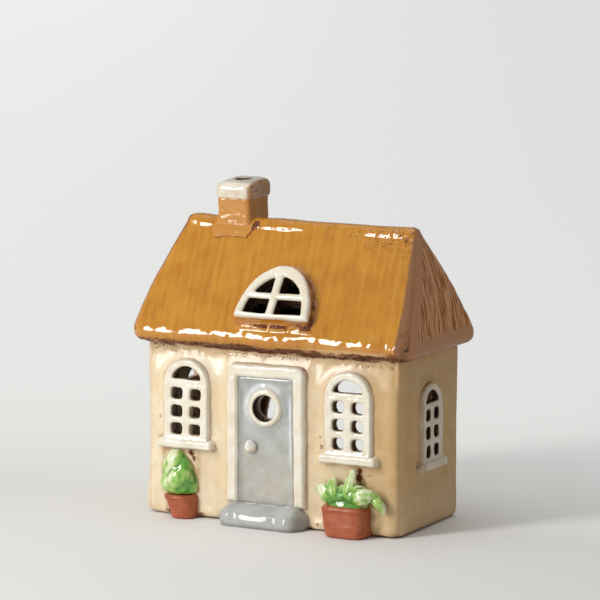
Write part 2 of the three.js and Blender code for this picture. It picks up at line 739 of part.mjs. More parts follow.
// A clipped shrub: half width and proud height at each level, with soft lumps round it
const shrub = () => {
  const levels = [
    [POT.height, 6.9, 5], [12.4, 8.4, 6.4], [15, 9, 7], [18, 8.9, 7], [21, 8.3, 6.6],
    [24, 7.3, 5.9], [27, 6.2, 5], [29.4, 4.6, 3.8], [SHRUB.top, 1.9, 1.8],
  ];
  const rings = levels.map(([z, halfWidth, proud], level) =>
    halfPotRing([halfWidth, proud], 0.9, z, SHRUB.x).map((p, i) => {
      const lump = 1 + SHRUB.lump * Math.sin(1.9 * i + 2.3 * level) * Math.cos(0.9 * level);
      const middle = vec(SHRUB.x, -outY, z);
      return p.sub(middle).multiplyScalar(lump).add(middle);
    }),
  );
  return piece("shrub", loft(rings), GLAZE.leaf());
};

// A leaf along a curved rib: an oval section, widest past the middle, that ends in a rounded tip
const leaf = (points, width, thick) => {
  const place = ([along, out, z]) => vec(PLANTER.x + along, -outY - out, z);
  const rib = new THREE.CatmullRomCurve3(points.map(place));
  const steps = 7;
  const rings = Array.from({ length: steps + 1 }, (_, i) => {
    const t = i / steps;
    const at = rib.getPointAt(t);
    const along = rib.getTangentAt(t);
    const across = vec(0, 1, 0).cross(along).normalize();
    const swell = 0.22 + 0.78 * Math.sin(Math.PI * (0.12 + 0.83 * t));
    return Array.from({ length: 8 }, (_, k) => {
      const angle = (Math.PI / 4) * k;
      return at
        .clone()
        .addScaledVector(across, (width / 2) * swell * Math.cos(angle))
        .add(vec(0, (thick / 2) * swell * Math.sin(angle), 0));
    });
  });
  return loft(rings);
};

// Leaves that spread from the trough. Each has its rib's points, as the distance along the wall from
// the trough's middle, the distance out from the wall and the height, then its width and thickness.
const LEAVES = [
  [[[-2, 4, 15.5], [-8, 5, 18.2], [-12, 4.4, 20.4], [-15.4, 2.6, 20]], 8, 4.8],
  [[[-1.4, 4, 15.2], [-5.4, 5.4, 19], [-6.7, 4.4, 22.5], [-6.3, 2.2, 26]], 6.4, 4.2],
  [[[0, 4, 15], [-1.3, 5.2, 18], [-2.1, 4.4, 20.5], [-1.5, 2.6, 23.2]], 5.4, 4],
  [[[1.4, 4, 15], [2.4, 5.8, 20], [2.8, 4.6, 25], [3.2, 2, 30.4]], 6, 4.4],
  [[[1.6, 4, 15], [4, 5.8, 19], [6.2, 5, 21.6], [9.4, 2.8, 22.4]], 6.6, 4.6],
  [[[3.8, 4.6, 16], [7.8, 6.2, 18.4], [11.8, 5.4, 19.8], [16.4, 3, 18.2]], 8, 5.2],
  [[[12.3, 3.4, 18.6], [15.4, 4, 17.4], [17.2, 3.6, 15.2], [18.4, 2.2, 11.6]], 5, 4],
];

const fern = () => {
  const { x, height, rim } = PLANTER;
  const mound = loft([
    halfPotRing([9.8, 7.2], 0.6, height, x + 0.6),
    halfPotRing([9.4, 6.4], 0.7, height + 3, x + 0.5),
    halfPotRing([7.2, 4.6], 0.8, height + 5.6, x + 0.2),
  ]);
  const trough = block([x - rim[0] - 1, -FAR, 0], [x + rim[0] + 0.7, 0, height]);
  const wall = block([-FAR, -outY, 0], [FAR, FAR, FAR]);
  const whole = join([mound, ...LEAVES.map((entry) => leaf(...entry))]);
  return piece("fern", whole.subtract(trough).subtract(wall), GLAZE.leaf());
};

// The whole house

const windows = () => {
  const group = new THREE.Group();
  ["front_left", "front_right"].forEach((place, i) => {
    const along = FRONT_WINDOW_X[i];
    group.add(
      archedWindow(place + "_window", frontFace, FRONT_WINDOW, along),
      windowSill(place + "_sill", frontFace, FRONT_WINDOW, along),
    );
  });
  group.add(
    archedWindow("right_side_window", rightFace, RIGHT_WINDOW, SIDE_WINDOW_Y.right),
    windowSill("right_side_sill", rightFace, RIGHT_WINDOW, SIDE_WINDOW_Y.right),
    archedWindow("left_side_window", leftFace, LEFT_WINDOW, -SIDE_WINDOW_Y.left),
    windowSill("left_side_sill", leftFace, LEFT_WINDOW, -SIDE_WINDOW_Y.left),
  );
  return group;
};

const house = new THREE.Group();
house.add(floorSlab(), walls(), roof(), windows());
house.add(doorLeaf(), doorFrame(), portholeRing(), doorKnob(), doorstep());
house.add(flowerPot(), shrub(), planterTrough(), fern());

export default house;
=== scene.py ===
# A glazed pottery cottage for a tea light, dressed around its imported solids. Metres, +Z up.
# Lengths in millimetres are written as a number times MM.
import math
from functools import reduce

import bmesh
import bpy
import numpy as np
from mathutils import Matrix, Vector


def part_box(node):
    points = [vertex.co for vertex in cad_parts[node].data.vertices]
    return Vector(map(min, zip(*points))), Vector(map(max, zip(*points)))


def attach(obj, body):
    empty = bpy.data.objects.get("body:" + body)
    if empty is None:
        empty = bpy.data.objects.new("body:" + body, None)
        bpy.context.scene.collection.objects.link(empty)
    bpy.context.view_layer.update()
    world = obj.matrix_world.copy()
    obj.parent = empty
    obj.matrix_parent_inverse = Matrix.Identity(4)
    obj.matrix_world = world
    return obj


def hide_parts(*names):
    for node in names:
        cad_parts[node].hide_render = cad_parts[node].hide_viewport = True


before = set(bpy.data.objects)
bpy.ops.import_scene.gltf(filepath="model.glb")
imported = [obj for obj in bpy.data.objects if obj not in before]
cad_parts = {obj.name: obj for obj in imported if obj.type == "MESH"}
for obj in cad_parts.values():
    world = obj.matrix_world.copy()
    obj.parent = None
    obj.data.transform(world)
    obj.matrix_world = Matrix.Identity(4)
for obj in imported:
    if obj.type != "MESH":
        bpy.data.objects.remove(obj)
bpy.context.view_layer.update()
MM = 0.001
scene = bpy.context.scene

# Camera and light


def aim(thing, place, target):
    """Puts a lamp or a camera at a place, turned towards a target."""
    thing.location = place
    thing.rotation_euler = (Vector(target) - Vector(place)).to_track_quat("-Z", "Y").to_euler()
    scene.collection.objects.link(thing)


def studio_camera():
    azimuth, elevation, distance = math.radians(28), math.radians(8.4), 1.595
    target = Vector((-1.54 * MM, 0, 98.98 * MM))
    level = math.cos(elevation)
    back = Vector((math.sin(azimuth) * level, -math.cos(azimuth) * level, math.sin(elevation)))
    data = bpy.data.cameras.new("camera")
    data.lens = 210
    data.sensor_width = 36
    data.clip_start, data.clip_end = 0.05, 40
    camera = bpy.data.objects.new("camera", data)
    aim(camera, target + back * distance, target)
    scene.camera = camera


def studio_lamp():
    """One tall softbox above the camera and to its left."""
    data = bpy.data.lights.new("key", "AREA")
    data.shape = "RECTANGLE"
    data.size, data.size_y = 0.22, 0.66
    data.energy = 7.0
    data.color = (1, 0.99, 0.97)
    aim(bpy.data.objects.new("key", data), place=(-0.48, -0.82, 0.49), target=(-0.01, -0.03, 0.1))


# The room's brightness by direction: an axis, where a band starts and ends, and its two levels
ROOM = [
    ("Z", 0.05, 0.45, 0.55, 0.3),
    ("Z", 0.82, 0.97, 0.0, 1.1),
    ("X", -0.3, 0.6, 0.08, -0.1),
    ("Y", 0.2, 0.9, 0.0, -0.12),
]


def studio_world():
    """A white room with a ceiling lamp, darker below that lamp and to the right."""
    world = bpy.data.worlds.new("studio")
    scene.world = world
    world.use_nodes = True
    nodes = Nodes(world.node_tree)
    direction = nodes.node("SeparateXYZ")
    nodes.link(nodes.node("TexCoord").outputs["Generated"], direction.inputs[0])
    levels = [nodes.ramp(direction.outputs[axis], *band) for axis, *band in ROOM]
    background = nodes.tree.nodes["Background"]
    background.inputs["Color"].default_value = (1.0, 0.99, 0.97, 1)
    nodes.link(reduce(nodes.plus, levels), background.inputs["Strength"])


# The paper's linear colours: as it lights the house and as it is seen; then, to the right and to
# the left, as it glows far away and as the glaze mirrors it
PAPER, PAPER_SEEN = (0.8, 0.8, 0.785, 1), (0.86, 0.86, 0.85, 1)
PAPER_GLOW = (0.31, 0.32, 0.325, 1), (0.435, 0.445, 0.45, 1)
PAPER_MIRRORED = (0.4, 0.4, 0.39, 1), (0.85, 0.85, 0.83, 1)
GLOW_START = 250
VIEW_SLANT = 0.53  # the tangent of the camera's azimuth


def paper():
    """Pale paper from the table to the background, seen paler with distance."""
    shader = Shader("paper")
    seen = shader.node("LightPath")
    away = shader.node("SeparateXYZ")
    shader.link(shader.place, away.inputs[0])
    sideways = shader.times(away.outputs["Y"], VIEW_SLANT)
    lit = shader.ramp(shader.plus(away.outputs["X"], sideways), 500, -500)
    behind = shader.math("MAXIMUM", away.outputs["Y"], 0.0)
    far = shader.math("DIVIDE", behind, shader.plus(behind, GLOW_START))
    shown = shader.mix(seen.outputs["Is Camera Ray"], PAPER, PAPER_SEEN)
    mirrored = shader.mix(lit, *PAPER_MIRRORED)
    return shader.surfaced({
        "Emission Color": shader.mix(lit, *PAPER_GLOW),
        "Emission Strength": shader.times(far, seen.outputs["Is Camera Ray"]),
        "Base Color": shader.mix(seen.outputs["Is Glossy Ray"], shown, mirrored),
        "Roughness": 0.7, "Specular IOR Level": 0.2,
    })


def studio_floor():
    data = bpy.data.meshes.new("floor")
    reach = 9
    corners = [(-reach, -reach, 0), (reach, -reach, 0), (reach, reach, 0), (-reach, reach, 0)]
    data.from_pydata(corners, [], [(0, 1, 2, 3)])
    floor = bpy.data.objects.new("floor", data)
    scene.collection.objects.link(floor)
    data.materials.append(paper())


# Noise on points, fixed by its seed

# A slanted turn, which keeps the noise's cells out of line with the house
TURNED = np.array(Matrix.Rotation(0.9, 3, Vector((0.5, 0.62, 0.6)).normalized()))


def cell_value(cell, seed):
    """A value from -1 to 1 that belongs to a cell of a lattice."""
    i, j, k = cell
    mixed = (i * 73856093) ^ (j * 19349663) ^ (k * 83492791) ^ (seed * 40503)
    mixed = ((mixed ^ (mixed >> 13)) * 1274126177) & 0xFFFFFFFF
    mixed = ((mixed ^ (mixed >> 15)) * 668265263) & 0xFFFFFFFF
    return ((mixed >> 8) & 0xFFFF) / 32767.5 - 1


def noise(points, size, seed):
    """Smooth noise from -1 to 1 with lumps about size across; size may be one for each axis."""
    scaled = points / size
    low = np.floor(scaled).astype(np.int64)
    t = scaled - low
    t = t * t * t * (t * (t * 6 - 15) + 10)
    total = np.zeros(len(points))
    for corner in range(8):
        step = np.array([corner & 1, corner >> 1 & 1, corner >> 2 & 1])
        weight = np.prod(np.where(step == 1, t, 1 - t), axis=1)
        total += weight * cell_value((low + step).T, seed)
    return total


def rough_noise(points, size, seed, layers=3):
    """Turned noise with finer layers, each half as large and half as strong."""
    scaled = points / size
    total = np.zeros(len(points))
    for i in range(layers):
        scaled = scaled @ TURNED
        total += noise(scaled, 1 / 2**i, seed + 7 * i) / 2**i
    return total


def fade(value, start, end):
    """0 at start, 1 at end, smooth between them; start may be the larger."""
    t = np.clip((value - start) / (end - start), 0, 1)
    return t * t * (3 - 2 * t)


def bell(value, middle, width):
    """1 in the middle, and less to both sides."""
    return np.exp(-(((value - middle) / width) ** 2))


def most(*layers):
    """The largest of some layers, point by point."""
    return reduce(np.maximum, layers)


# Clay surfaces


class Clay:
    """A fine mesh as arrays: points in millimetres, edges and the values painted on its points."""

    def __init__(self, thing):
        self.thing = thing
        mesh = thing.data
        flat = np.zeros(len(mesh.vertices) * 3)
        mesh.vertices.foreach_get("co", flat)
        self.points = flat.reshape(-1, 3) / MM
        ends = np.zeros(len(mesh.edges) * 2, np.int64)
        mesh.edges.foreach_get("vertices", ends)
        self.ends = ends.reshape(-1, 2)
        self.degree = np.maximum(np.bincount(ends, minlength=len(mesh.vertices)), 1)

    def around(self, values):
        """The mean of each point's neighbours."""
        a, b = self.ends.T
        count = len(self.degree)
        columns = values.reshape(len(values), -1).T
        sums = [np.bincount(a, column[b], count) + np.bincount(b, column[a], count) for column in columns]
        mean = np.array(sums).T / self.degree[:, None]
        return mean.reshape(values.shape)

    def melt(self, rounds=1, share=0.5):
        for _ in range(rounds):
            self.points += share * (self.around(self.points) - self.points)

    def soften(self, rounds):
        """Rounds the edges, with a step back each time so that the form keeps its size."""
        for _ in range(rounds):
            self.melt()
            self.melt(share=-0.47)

    def normals(self):
        self.write()
        flat = np.zeros(len(self.points) * 3)
        self.thing.data.vertex_normals.foreach_get("vector", flat)
        return flat.reshape(-1, 3)

    def push(self, amount):
        """Moves each point out along its normal, by an amount in millimetres."""
        self.points += self.normals() * np.asarray(amount)[:, None]

    def bend(self, rounds=3):
        """How the surface curves, per millimetre: above 0 on edges, below 0 in creases."""
        normals = self.normals()
        a, b = self.ends.T
        spacing = np.linalg.norm(self.points[a] - self.points[b], axis=1).mean()
        offset = self.points - self.around(self.points)
        curve = np.einsum("ij,ij->i", offset, normals) * 4 / spacing**2
        for _ in range(rounds):
            curve = 0.5 * curve + 0.5 * self.around(curve)
        return curve

    def noise(self, size, seed):
        return noise(self.points, size, seed)

    def rough(self, size, seed, layers=3):
        return rough_noise(self.points, size, seed, layers)

    def waver(self):
        """The uneven lie of hand-pressed clay, in one field that all sprigs share."""
        drift = np.stack([self.rough(34, seed, 2) for seed in (11, 23, 37)], axis=1)
        drift[:, 2] *= fade(self.points[:, 2], 0, 8)
        self.points += 0.28 * drift

    def write(self):
        self.thing.data.vertices.foreach_set("co", (self.points * MM).ravel())
        self.thing.data.update()

    def paint(self, **layers):
        for name, values in layers.items():
            layer = self.thing.data.attributes.new(name, "FLOAT", "POINT")
            layer.data.foreach_set("value", np.asarray(values, np.float32))


def clay_of(name, nodes, voxel, shape=None):
    """A fine surface of some nodes, with a change to the solids' points before it is made."""
    bm = bmesh.new()
    for node in nodes:
        bm.from_mesh(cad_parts[node].data)
    bmesh.ops.remove_doubles(bm, verts=bm.verts, dist=0.001 * MM)
    data = bpy.data.meshes.new(name)
    bm.to_mesh(data)
    bm.free()
    thing = bpy.data.objects.new(name, data)
    scene.collection.objects.link(thing)
    if shape:
        rough = Clay(thing)
        rough.points = shape(rough.points)
        rough.write()
    modifier = thing.modifiers.new("voxels", "REMESH")
    modifier.mode = "VOXEL"
    modifier.voxel_size = voxel * MM
    graph = bpy.context.evaluated_depsgraph_get()
    made = bpy.data.meshes.new_from_object(thing.evaluated_get(graph))
    thing.modifiers.clear()
    thing.data = made
    return Clay(thing)


def place(clay, slot, material, *nodes):
    """Puts a finished surface in place of its nodes."""
    clay.points[:, 2] = most(clay.points[:, 2], 0)
    clay.write()
    thing = clay.thing
    thing.data.polygons.foreach_set("use_smooth", np.ones(len(thing.data.polygons), bool))
    thing.data.materials.append(material)
    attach(thing, "root")
    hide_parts(*nodes)


def span(node):
    """Lowest and highest corner of a node, in millimetres."""
    return [np.array(corner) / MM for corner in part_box(node)]


FRONT = span("front_wall")[0][1]
RIGHT = span("right_wall")[1][0]
LEFT = span("left_wall")[0][0]
SEAM = span("rear_wall")[1][2]
WALL_ZONE = 4  # a little more than a wall is thick
FAR = 99  # where a distance doesn't matter
RING_THICK = 3
DORMER_LIFT = 0.57  # how far the dormer's face stands up for each millimetre off the slope
STACK_SUNK = 1.6  # how deep the stack goes into the roof's clay and into the cap
FLUE_HALF = (5.4, 7.2)

# Shader nodes


class Nodes:
    """Short calls that build a node tree."""

    def __init__(self, tree):
        self.tree = tree

    def node(self, kind):
        return self.tree.nodes.new("ShaderNode" + kind)

    def link(self, value, socket):
        if isinstance(value, bpy.types.NodeSocket):
            self.tree.links.new(value, socket)
        else:
            socket.default_value = value

    def math(self, operation, a, b=0.0):
        node = self.node("Math")
        node.operation = operation
        self.link(a, node.inputs[0])
        self.link(b, node.inputs[1])
        return node.outputs[0]

    def times(self, a, b):
        return self.math("MULTIPLY", a, b)

    def plus(self, a, b):
        return self.math("ADD", a, b)

    def ramp(self, value, start, end, low=0.0, high=1.0):
        """A value turned smoothly from one range into another."""
        node = self.node("MapRange")
        node.interpolation_type = "SMOOTHSTEP"
        settings = {"Value": value, "From Min": start, "From Max": end, "To Min": low, "To Max": high}
        for name, setting in settings.items():
            self.link(setting, node.inputs[name])
        return node.outputs["Result"]


class Shader(Nodes):
    """One glaze. Its textures run in the object's own millimetres."""

    def __init__(self, name):
        self.material = bpy.data.materials.new(name)
        self.material.use_nodes = True
        super().__init__(self.material.node_tree)
        scaled = self.node("VectorMath")
        scaled.operation = "SCALE"
        scaled.inputs["Scale"].default_value = 1 / MM
        self.link(self.node("TexCoord").outputs["Object"], scaled.inputs[0])
        self.place = scaled.outputs[0]

    def noise(self, size, detail=2.0, roughness=0.5, where=None):
        """Noise from 0 to 1 whose lumps are about size across."""
        node = self.node("TexNoise")
        self.link(where or self.place, node.inputs["Vector"])
        node.inputs["Scale"].default_value = 1 / size
        node.inputs["Detail"].default_value = detail
        node.inputs["Roughness"].default_value = roughness
        return node.outputs["Fac"]

    def painted(self, name):
        node = self.node("Attribute")
        node.attribute_name = name
        return node.outputs["Fac"]

    def mix(self, factor, a, b):
        node = self.node("Mix")
        node.data_type = "RGBA"
        self.link(factor, node.inputs["Factor"])
        self.link(tone(a), node.inputs["A"])
        self.link(tone(b), node.inputs["B"])
        return node.outputs["Result"]

    def layer(self, colour, value, start, end, share, tint):
        """A share of a tint over a colour, as a value runs from start to end."""
        return self.mix(self.ramp(value, start, end, 0, share), colour, tint)

    def tinted(self, colour, **tints):
        """Tints over a colour, each as far as the points are painted under its name."""
        for name, tint in tints.items():
            colour = self.mix(self.painted(name), colour, tint)
        return colour

    def bump(self, height, distance, under=None):
        node = self.node("Bump")
        node.inputs["Distance"].default_value = distance * MM
        self.link(height, node.inputs["Height"])
        if under:
            self.link(under, node.inputs["Normal"])
        return node.outputs["Normal"]

    def finish(self, colour, roughness, normal, gloss=1.0, satin=0.07):
        """gloss is the share of clear glaze on top, and satin its roughness."""
        return self.surfaced({
            "Base Color": colour, "Roughness": roughness, "Normal": normal, "Specular IOR Level": 0.1,
            "Coat Weight": gloss, "Coat Roughness": satin, "Coat IOR": 1.62, "Coat Normal": normal,
        })

    def surfaced(self, settings):
        surface = self.tree.nodes["Principled BSDF"]
        for name, value in settings.items():
            self.link(value, surface.inputs[name])
        return self.material


def tone(value):
    """A screen colour, 0 to 255, in linear light. What is linear stays as it is."""
    if isinstance(value, bpy.types.NodeSocket) or len(value) == 4:
        return value
    linear = [((c / 255 + 0.055) / 1.055) ** 2.4 if c > 10 else c / 255 / 12.92 for c in value]
    return (*linear, 1.0)


# Glazes

COMB_PITCH = 4.2
CREAM, CREAM_DULL = (239, 233, 217), (231, 220, 197)
CRUST = (84, 40, 24)


def with_crust(shader, colour, roughness):
    """Burnt brown specks, which close up into crust where it is painted; the same paint also carries some
    painted shade.
    """
    amount = shader.times(shader.painted("crust"), 0.62)
    mask = shader.ramp(shader.plus(amount, shader.noise(0.75, 3, 0.65)), 0.87, 0.93)
    colour = shader.layer(colour, shader.painted("crust"), 0.2, 1, 0.45, (176, 118, 66))
    dark = shader.mix(shader.ramp(shader.noise(0.6, 2), 0.46, 0.64), CRUST, (150, 92, 58))
    return shader.mix(mask, colour, dark), shader.ramp(mask, 0, 1, roughness, 0.45), mask


def cream_glaze():
    shader = Shader("cream_glaze")
    cloud = shader.noise(9, 3)
    colour = shader.mix(shader.ramp(cloud, 0.35, 0.7), CREAM, CREAM_DULL)
    colour = shader.layer(colour, shader.noise(0.55, 2, 0.6), 0.66, 0.78, 0.4, (176, 148, 112))
    stained = shader.times(shader.painted("stain"), shader.ramp(cloud, 0.2, 0.6, 0.6, 1))
    colour = shader.mix(stained, colour, (170, 132, 92))
    # pale is a painted highlight; inside is painted shade
    colour = shader.tinted(colour, backing=(190, 122, 36), pale=(232, 234, 236), inside=(58, 40, 30))
    colour, rough, mask = with_crust(shader, colour, 0.14)
    normal = shader.bump(mask, 0.12, shader.bump(shader.noise(1.6, 2), 0.035))
    gloss = shader.ramp(shader.painted("inside"), 0, 1, 1, 0.15)
    return shader.finish(colour, rough, normal, gloss)


def wall_glaze():
    shader = Shader("wall_glaze")
    colour = shader.mix(shader.ramp(shader.noise(16, 4), 0.35, 0.65), (238, 222, 192), (232, 210, 174))
    colour = shader.layer(colour, shader.noise(3.2, 4, 0.6), 0.42, 0.72, 0.35, (214, 186, 144))
    colour = shader.layer(colour, shader.noise(0.6, 2, 0.6), 0.66, 0.8, 0.35, (150, 108, 74))
    patch = shader.ramp(shader.noise(5, 3), 0.25, 0.65, 0.45, 1)
    stained = shader.times(shader.painted("stain"), patch)
    colour = shader.mix(stained, colour, (178, 122, 74))
    # Painted shade: a brown tint laid where 'shade' is painted, mixed with a deeper glaze tone
    mottled = shader.ramp(shader.noise(7, 5, 0.65), 0.3, 0.7, 0.78, 1)
    deep = shader.times(shader.painted("shade"), mottled)
    colour = shader.mix(deep, colour, (202, 164, 112))
    # Painted shade: the band under the eave, the reveals and the inside are tinted darker
    colour = shader.tinted(colour, bare=(212, 184, 140), reveal=(150, 98, 62), inside=(140, 100, 72))
    colour, rough, mask = with_crust(shader, colour, 0.12)
    normal = shader.bump(mask, 0.2, shader.bump(shader.noise(2.4, 3), 0.06))
    dull = shader.math("MAXIMUM", shader.painted("dull"), mask)
    rough = shader.math("MAXIMUM", rough, shader.ramp(dull, 0, 1, 0.12, 0.5))
    return shader.finish(colour, rough, normal, shader.ramp(dull, 0, 1, 0.75, 0.2), satin=0.28)


def roof_glaze():
    shader = Shader("roof_glaze")
    colour = shader.mix(shader.ramp(shader.noise(14, 3), 0.35, 0.7), (196, 136, 36), (186, 122, 30))
    streak, edge = shader.painted("streak"), shader.painted("edge")
    # The brush strokes fan out from the ridge
    brush = shader.node("CombineXYZ")
    shader.link(shader.painted("fan"), brush.inputs["X"])
    shader.link(shader.times(shader.painted("rise"), 0.07), brush.inputs["Y"])
    fan = brush.outputs[0]
    # Comb lines at an even pitch, broken up by noise
    sway = shader.times(shader.noise(9, 2, 0.5, fan), 6.0)
    pitch = shader.times(shader.painted("fan"), math.tau / COMB_PITCH)
    comb = shader.math("SINE", shader.plus(pitch, sway))
    fine = shader.math("SUBTRACT", shader.noise(1.5, 3, 0.55, fan), 0.5)
    fine = shader.plus(shader.times(fine, 0.7), 0.5)
    lines = shader.plus(shader.times(comb, 0.075), fine)
    colour = shader.layer(colour, shader.noise(7, 3, 0.6), 0.45, 0.7, 0.2, (176, 104, 32))
    colour = shader.layer(colour, streak, 0.1, 0.9, 0.2, (206, 150, 58))
    colour = shader.layer(colour, streak, -0.1, -0.9, 0.2, (166, 98, 18))
    colour = shader.layer(colour, lines, 0.5, 0.72, 0.36, (208, 152, 66))
    colour = shader.layer(colour, lines, 0.5, 0.3, 0.3, (152, 88, 18))
    colour = shader.layer(colour, edge, 0.15, 1, 0.5, (196, 122, 40))
    # pale is a painted reflection, on the eave nose and the chimney's front
    colour = shader.tinted(colour, stain=(150, 84, 34), pale=(234, 204, 156))
    # Fine specks, dark and pale, where the glaze boiled
    pepper = shader.painted("pepper")
    boiled = shader.ramp(shader.noise(0.9, 2, 0.65), 0.57, 0.62)
    colour = shader.mix(shader.times(pepper, boiled), colour, (92, 46, 20))
    boiled = shader.ramp(shader.noise(0.8, 2, 0.7), 0.44, 0.36)
    colour = shader.mix(shader.times(pepper, boiled), colour, (222, 168, 100))
    gable, carved = shader.painted("gable"), shader.painted("carved")
    scored = shader.noise(0.85, 2, 0.55, fan)
    groove = shader.plus(scored, shader.times(streak, 0.1))
    raked = shader.mix(shader.ramp(groove, 0.43, 0.55), (158, 88, 0), (208, 152, 106))
    smooth = shader.mix(shader.noise(6, 2), (186, 134, 98), (192, 140, 104))
    # Painted shade: darker where the band faces the front
    smooth = shader.tinted(smooth, turned=(138, 98, 68))
    colour = shader.mix(gable, colour, shader.mix(carved, smooth, raked))
    # Painted shade: the inside is near black
    colour = shader.tinted(colour, inside=(44, 30, 22))
    colour, rough, mask = with_crust(shader, colour, 0.1)
    plain = shader.times(lines, shader.ramp(shader.painted("rise"), 3, 9, 0.15, 1))
    relief = shader.mix(carved, plain, shader.times(groove, 2.2))
    normal = shader.bump(mask, 0.2, shader.bump(relief, 0.14))
    dull = shader.math("MAXIMUM", gable, shader.math("MAXIMUM", mask, shader.painted("inside")))
    return shader.finish(colour, rough, normal, shader.ramp(dull, 0, 1, 1, 0.18))


def grey_glaze():
    shader = Shader("grey_glaze")
    colour = shader.mix(shader.ramp(shader.noise(8, 4), 0.35, 0.7), (184, 187, 184), (170, 172, 167))
    colour = shader.layer(colour, shader.noise(1.8, 4, 0.7), 0.5, 0.75, 0.5, (192, 188, 178))
    colour = shader.tinted(colour, warm=(196, 184, 166))
    colour = shader.layer(colour, shader.noise(0.5, 2, 0.6), 0.58, 0.74, 0.5, (120, 114, 108))
    # pale is a painted highlight; inside is painted shade
    colour = shader.tinted(colour, stain=(138, 140, 140), pale=(226, 228, 232))
    colour, rough, mask = with_crust(shader, colour, 0.1)
    normal = shader.bump(mask, 0.1, shader.bump(shader.noise(1.8, 3), 0.05))
    colour = shader.tinted(colour, inside=(58, 42, 32))
    gloss = shader.ramp(shader.painted("dull"), 0, 1, 1, 0.45)
    return shader.finish(colour, rough, normal, gloss, satin=0.1)


def terracotta():
    shader = Shader("terracotta")
    colour = shader.mix(shader.ramp(shader.noise(5, 3), 0.35, 0.7), (180, 98, 66), (164, 84, 54))
    # Thin lines round the pot, as a wheel leaves them
    level = shader.node("VectorMath")
    level.operation = "DIVIDE"
    shader.link(shader.place, level.inputs[0])
    level.inputs[1].default_value = (12, 12, 1)
    lines = shader.noise(0.45, 3, 0.6, level.outputs[0])
    colour = shader.layer(colour, lines, 0.5, 0.75, 0.55, (198, 122, 90))
    colour = shader.layer(colour, lines, 0.45, 0.25, 0.5, (140, 68, 44))
    colour = shader.tinted(colour, stain=(120, 58, 38))
    return shader.finish(colour, 0.4, shader.bump(lines, 0.05), gloss=0.35, satin=0.18)


def leaf_glaze():
    shader = Shader("leaf_glaze")
    colour = shader.mix(shader.ramp(shader.noise(2.6, 3), 0.35, 0.65), (116, 178, 76), (88, 154, 62))
    mottle = shader.times(shader.noise(3, 2), 0.4)
    broken = shader.plus(shader.painted("edge"), mottle)
    colour = shader.layer(colour, broken, 0.45, 0.95, 1, (166, 202, 104))
    colour = shader.layer(colour, broken, 0.9, 1.3, 1, (230, 236, 200))
    colour = shader.tinted(colour, stain=(54, 116, 38), rim=(214, 176, 128))
    colour, rough, _ = with_crust(shader, colour, 0.1)
    return shader.finish(colour, rough, shader.bump(shader.noise(1.2, 2), 0.05))


# How the clay lies


def sunk(origin, outward, reach=0.5, depth=1.3):
    """A change that moves the back of a sprig into the clay that carries it."""

    def shape(points):
        height = (points - origin) @ outward
        return points - np.where(height < reach, depth, 0)[:, None] * outward

    return shape


def spots(across, z, places):
    """Soft round spots, each with its place, radius and strength."""
    total = np.zeros(len(z))
    for a, height, radius, strength in places:
        far = ((across - a) ** 2 + (z - height) ** 2) / radius**2
        total = most(total, strength * np.exp(-far))
    return total


def box_gap(across, z, low, high):
    """Distance outside a rectangle, below 0 inside it."""
    side = most(low[0] - across, across - high[0])
    end = most(low[1] - z, z - high[1])
    return np.hypot(most(side, 0), most(end, 0)) + np.minimum(most(side, end), 0)


def sprig_gap(points, node, axis):
    """Distance on the wall from a sprig's outline, which is arched where it is a window."""
    low, high = span(node)
    across, z = points[:, axis], points[:, 2]
    if not node.endswith("window"):
        return box_gap(across, z, low[[axis, 2]], high[[axis, 2]])
    half = (high[axis] - low[axis]) / 2
    spring = high[2] - half
    arch = np.hypot(across - low[axis] - half, z - spring) - half
    straight = box_gap(across, z, low[[axis, 2]], (high[axis], spring))
    return np.where(z > spring, arch, straight)


def nearest_sprig(points, nodes, axis):
    return np.min([sprig_gap(points, node, axis) for node in nodes], axis=0)


# Walls and floor

FRONT_WINDOWS = ["front_left_window", "front_right_window"]
FRONT_SPRIGS = FRONT_WINDOWS + [
    "front_left_sill", "front_right_sill", "door_frame", "flower_pot", "shrub", "planter_trough",
]
# Burnt spots and lumps: across the face, up it, radius and strength
BURNT_FRONT = [
    (-57.4, 45.5, 1.1, 0.75), (-57, 38.5, 0.8, 0.6), (-52, 31.6, 2.6, 0.5), (-45, 31.2, 3, 0.5),
    (-41, 29.8, 2.2, 1), (-39.6, 27.4, 1.8, 0.95), (-56.8, 19, 0.9, 0.7), (-56.6, 22, 0.8, 0.55),
    (-52.5, 1, 3, 0.85), (-35.5, 0.8, 3.4, 0.8), (-28, 0.6, 2.5, 0.6), (26.4, 38.6, 2.6, 0.6),
    (25, 43, 1.3, 0.6), (16.6, 44, 1, 0.6), (31, 31.2, 5, 0.42), (38, 29.5, 1, 0.6), (39, 27, 1, 0.6),
    (45.2, 29.4, 2, 1), (44.4, 26, 2.4, 1.1), (46, 23.2, 2, 0.7), (49.8, 28, 1.2, 0.7),
    (42, 31, 3, 0.5), (48, 24, 3, 0.48),
    (33, 27.5, 0.9, 0.55), (24.5, 3, 2, 0.6), (20, 1, 2.4, 0.6), (61, 1, 3, 0.5),
]
FOOT_LUMPS = [
    (53, 12.5, 2.8, 1.5), (53, 6.5, 3.2, 2.3), (58, 0.8, 5, 1), (24, 1, 4, 1.6), (-33, 0.8, 4, 1),
]
BURNT_RIGHT = [(-12.8, 32, 2.2, 0.5), (6, 27, 0.9, 0.55), (-20, 1.2, 2.2, 0.6), (-16, 0.8, 2, 0.5)]


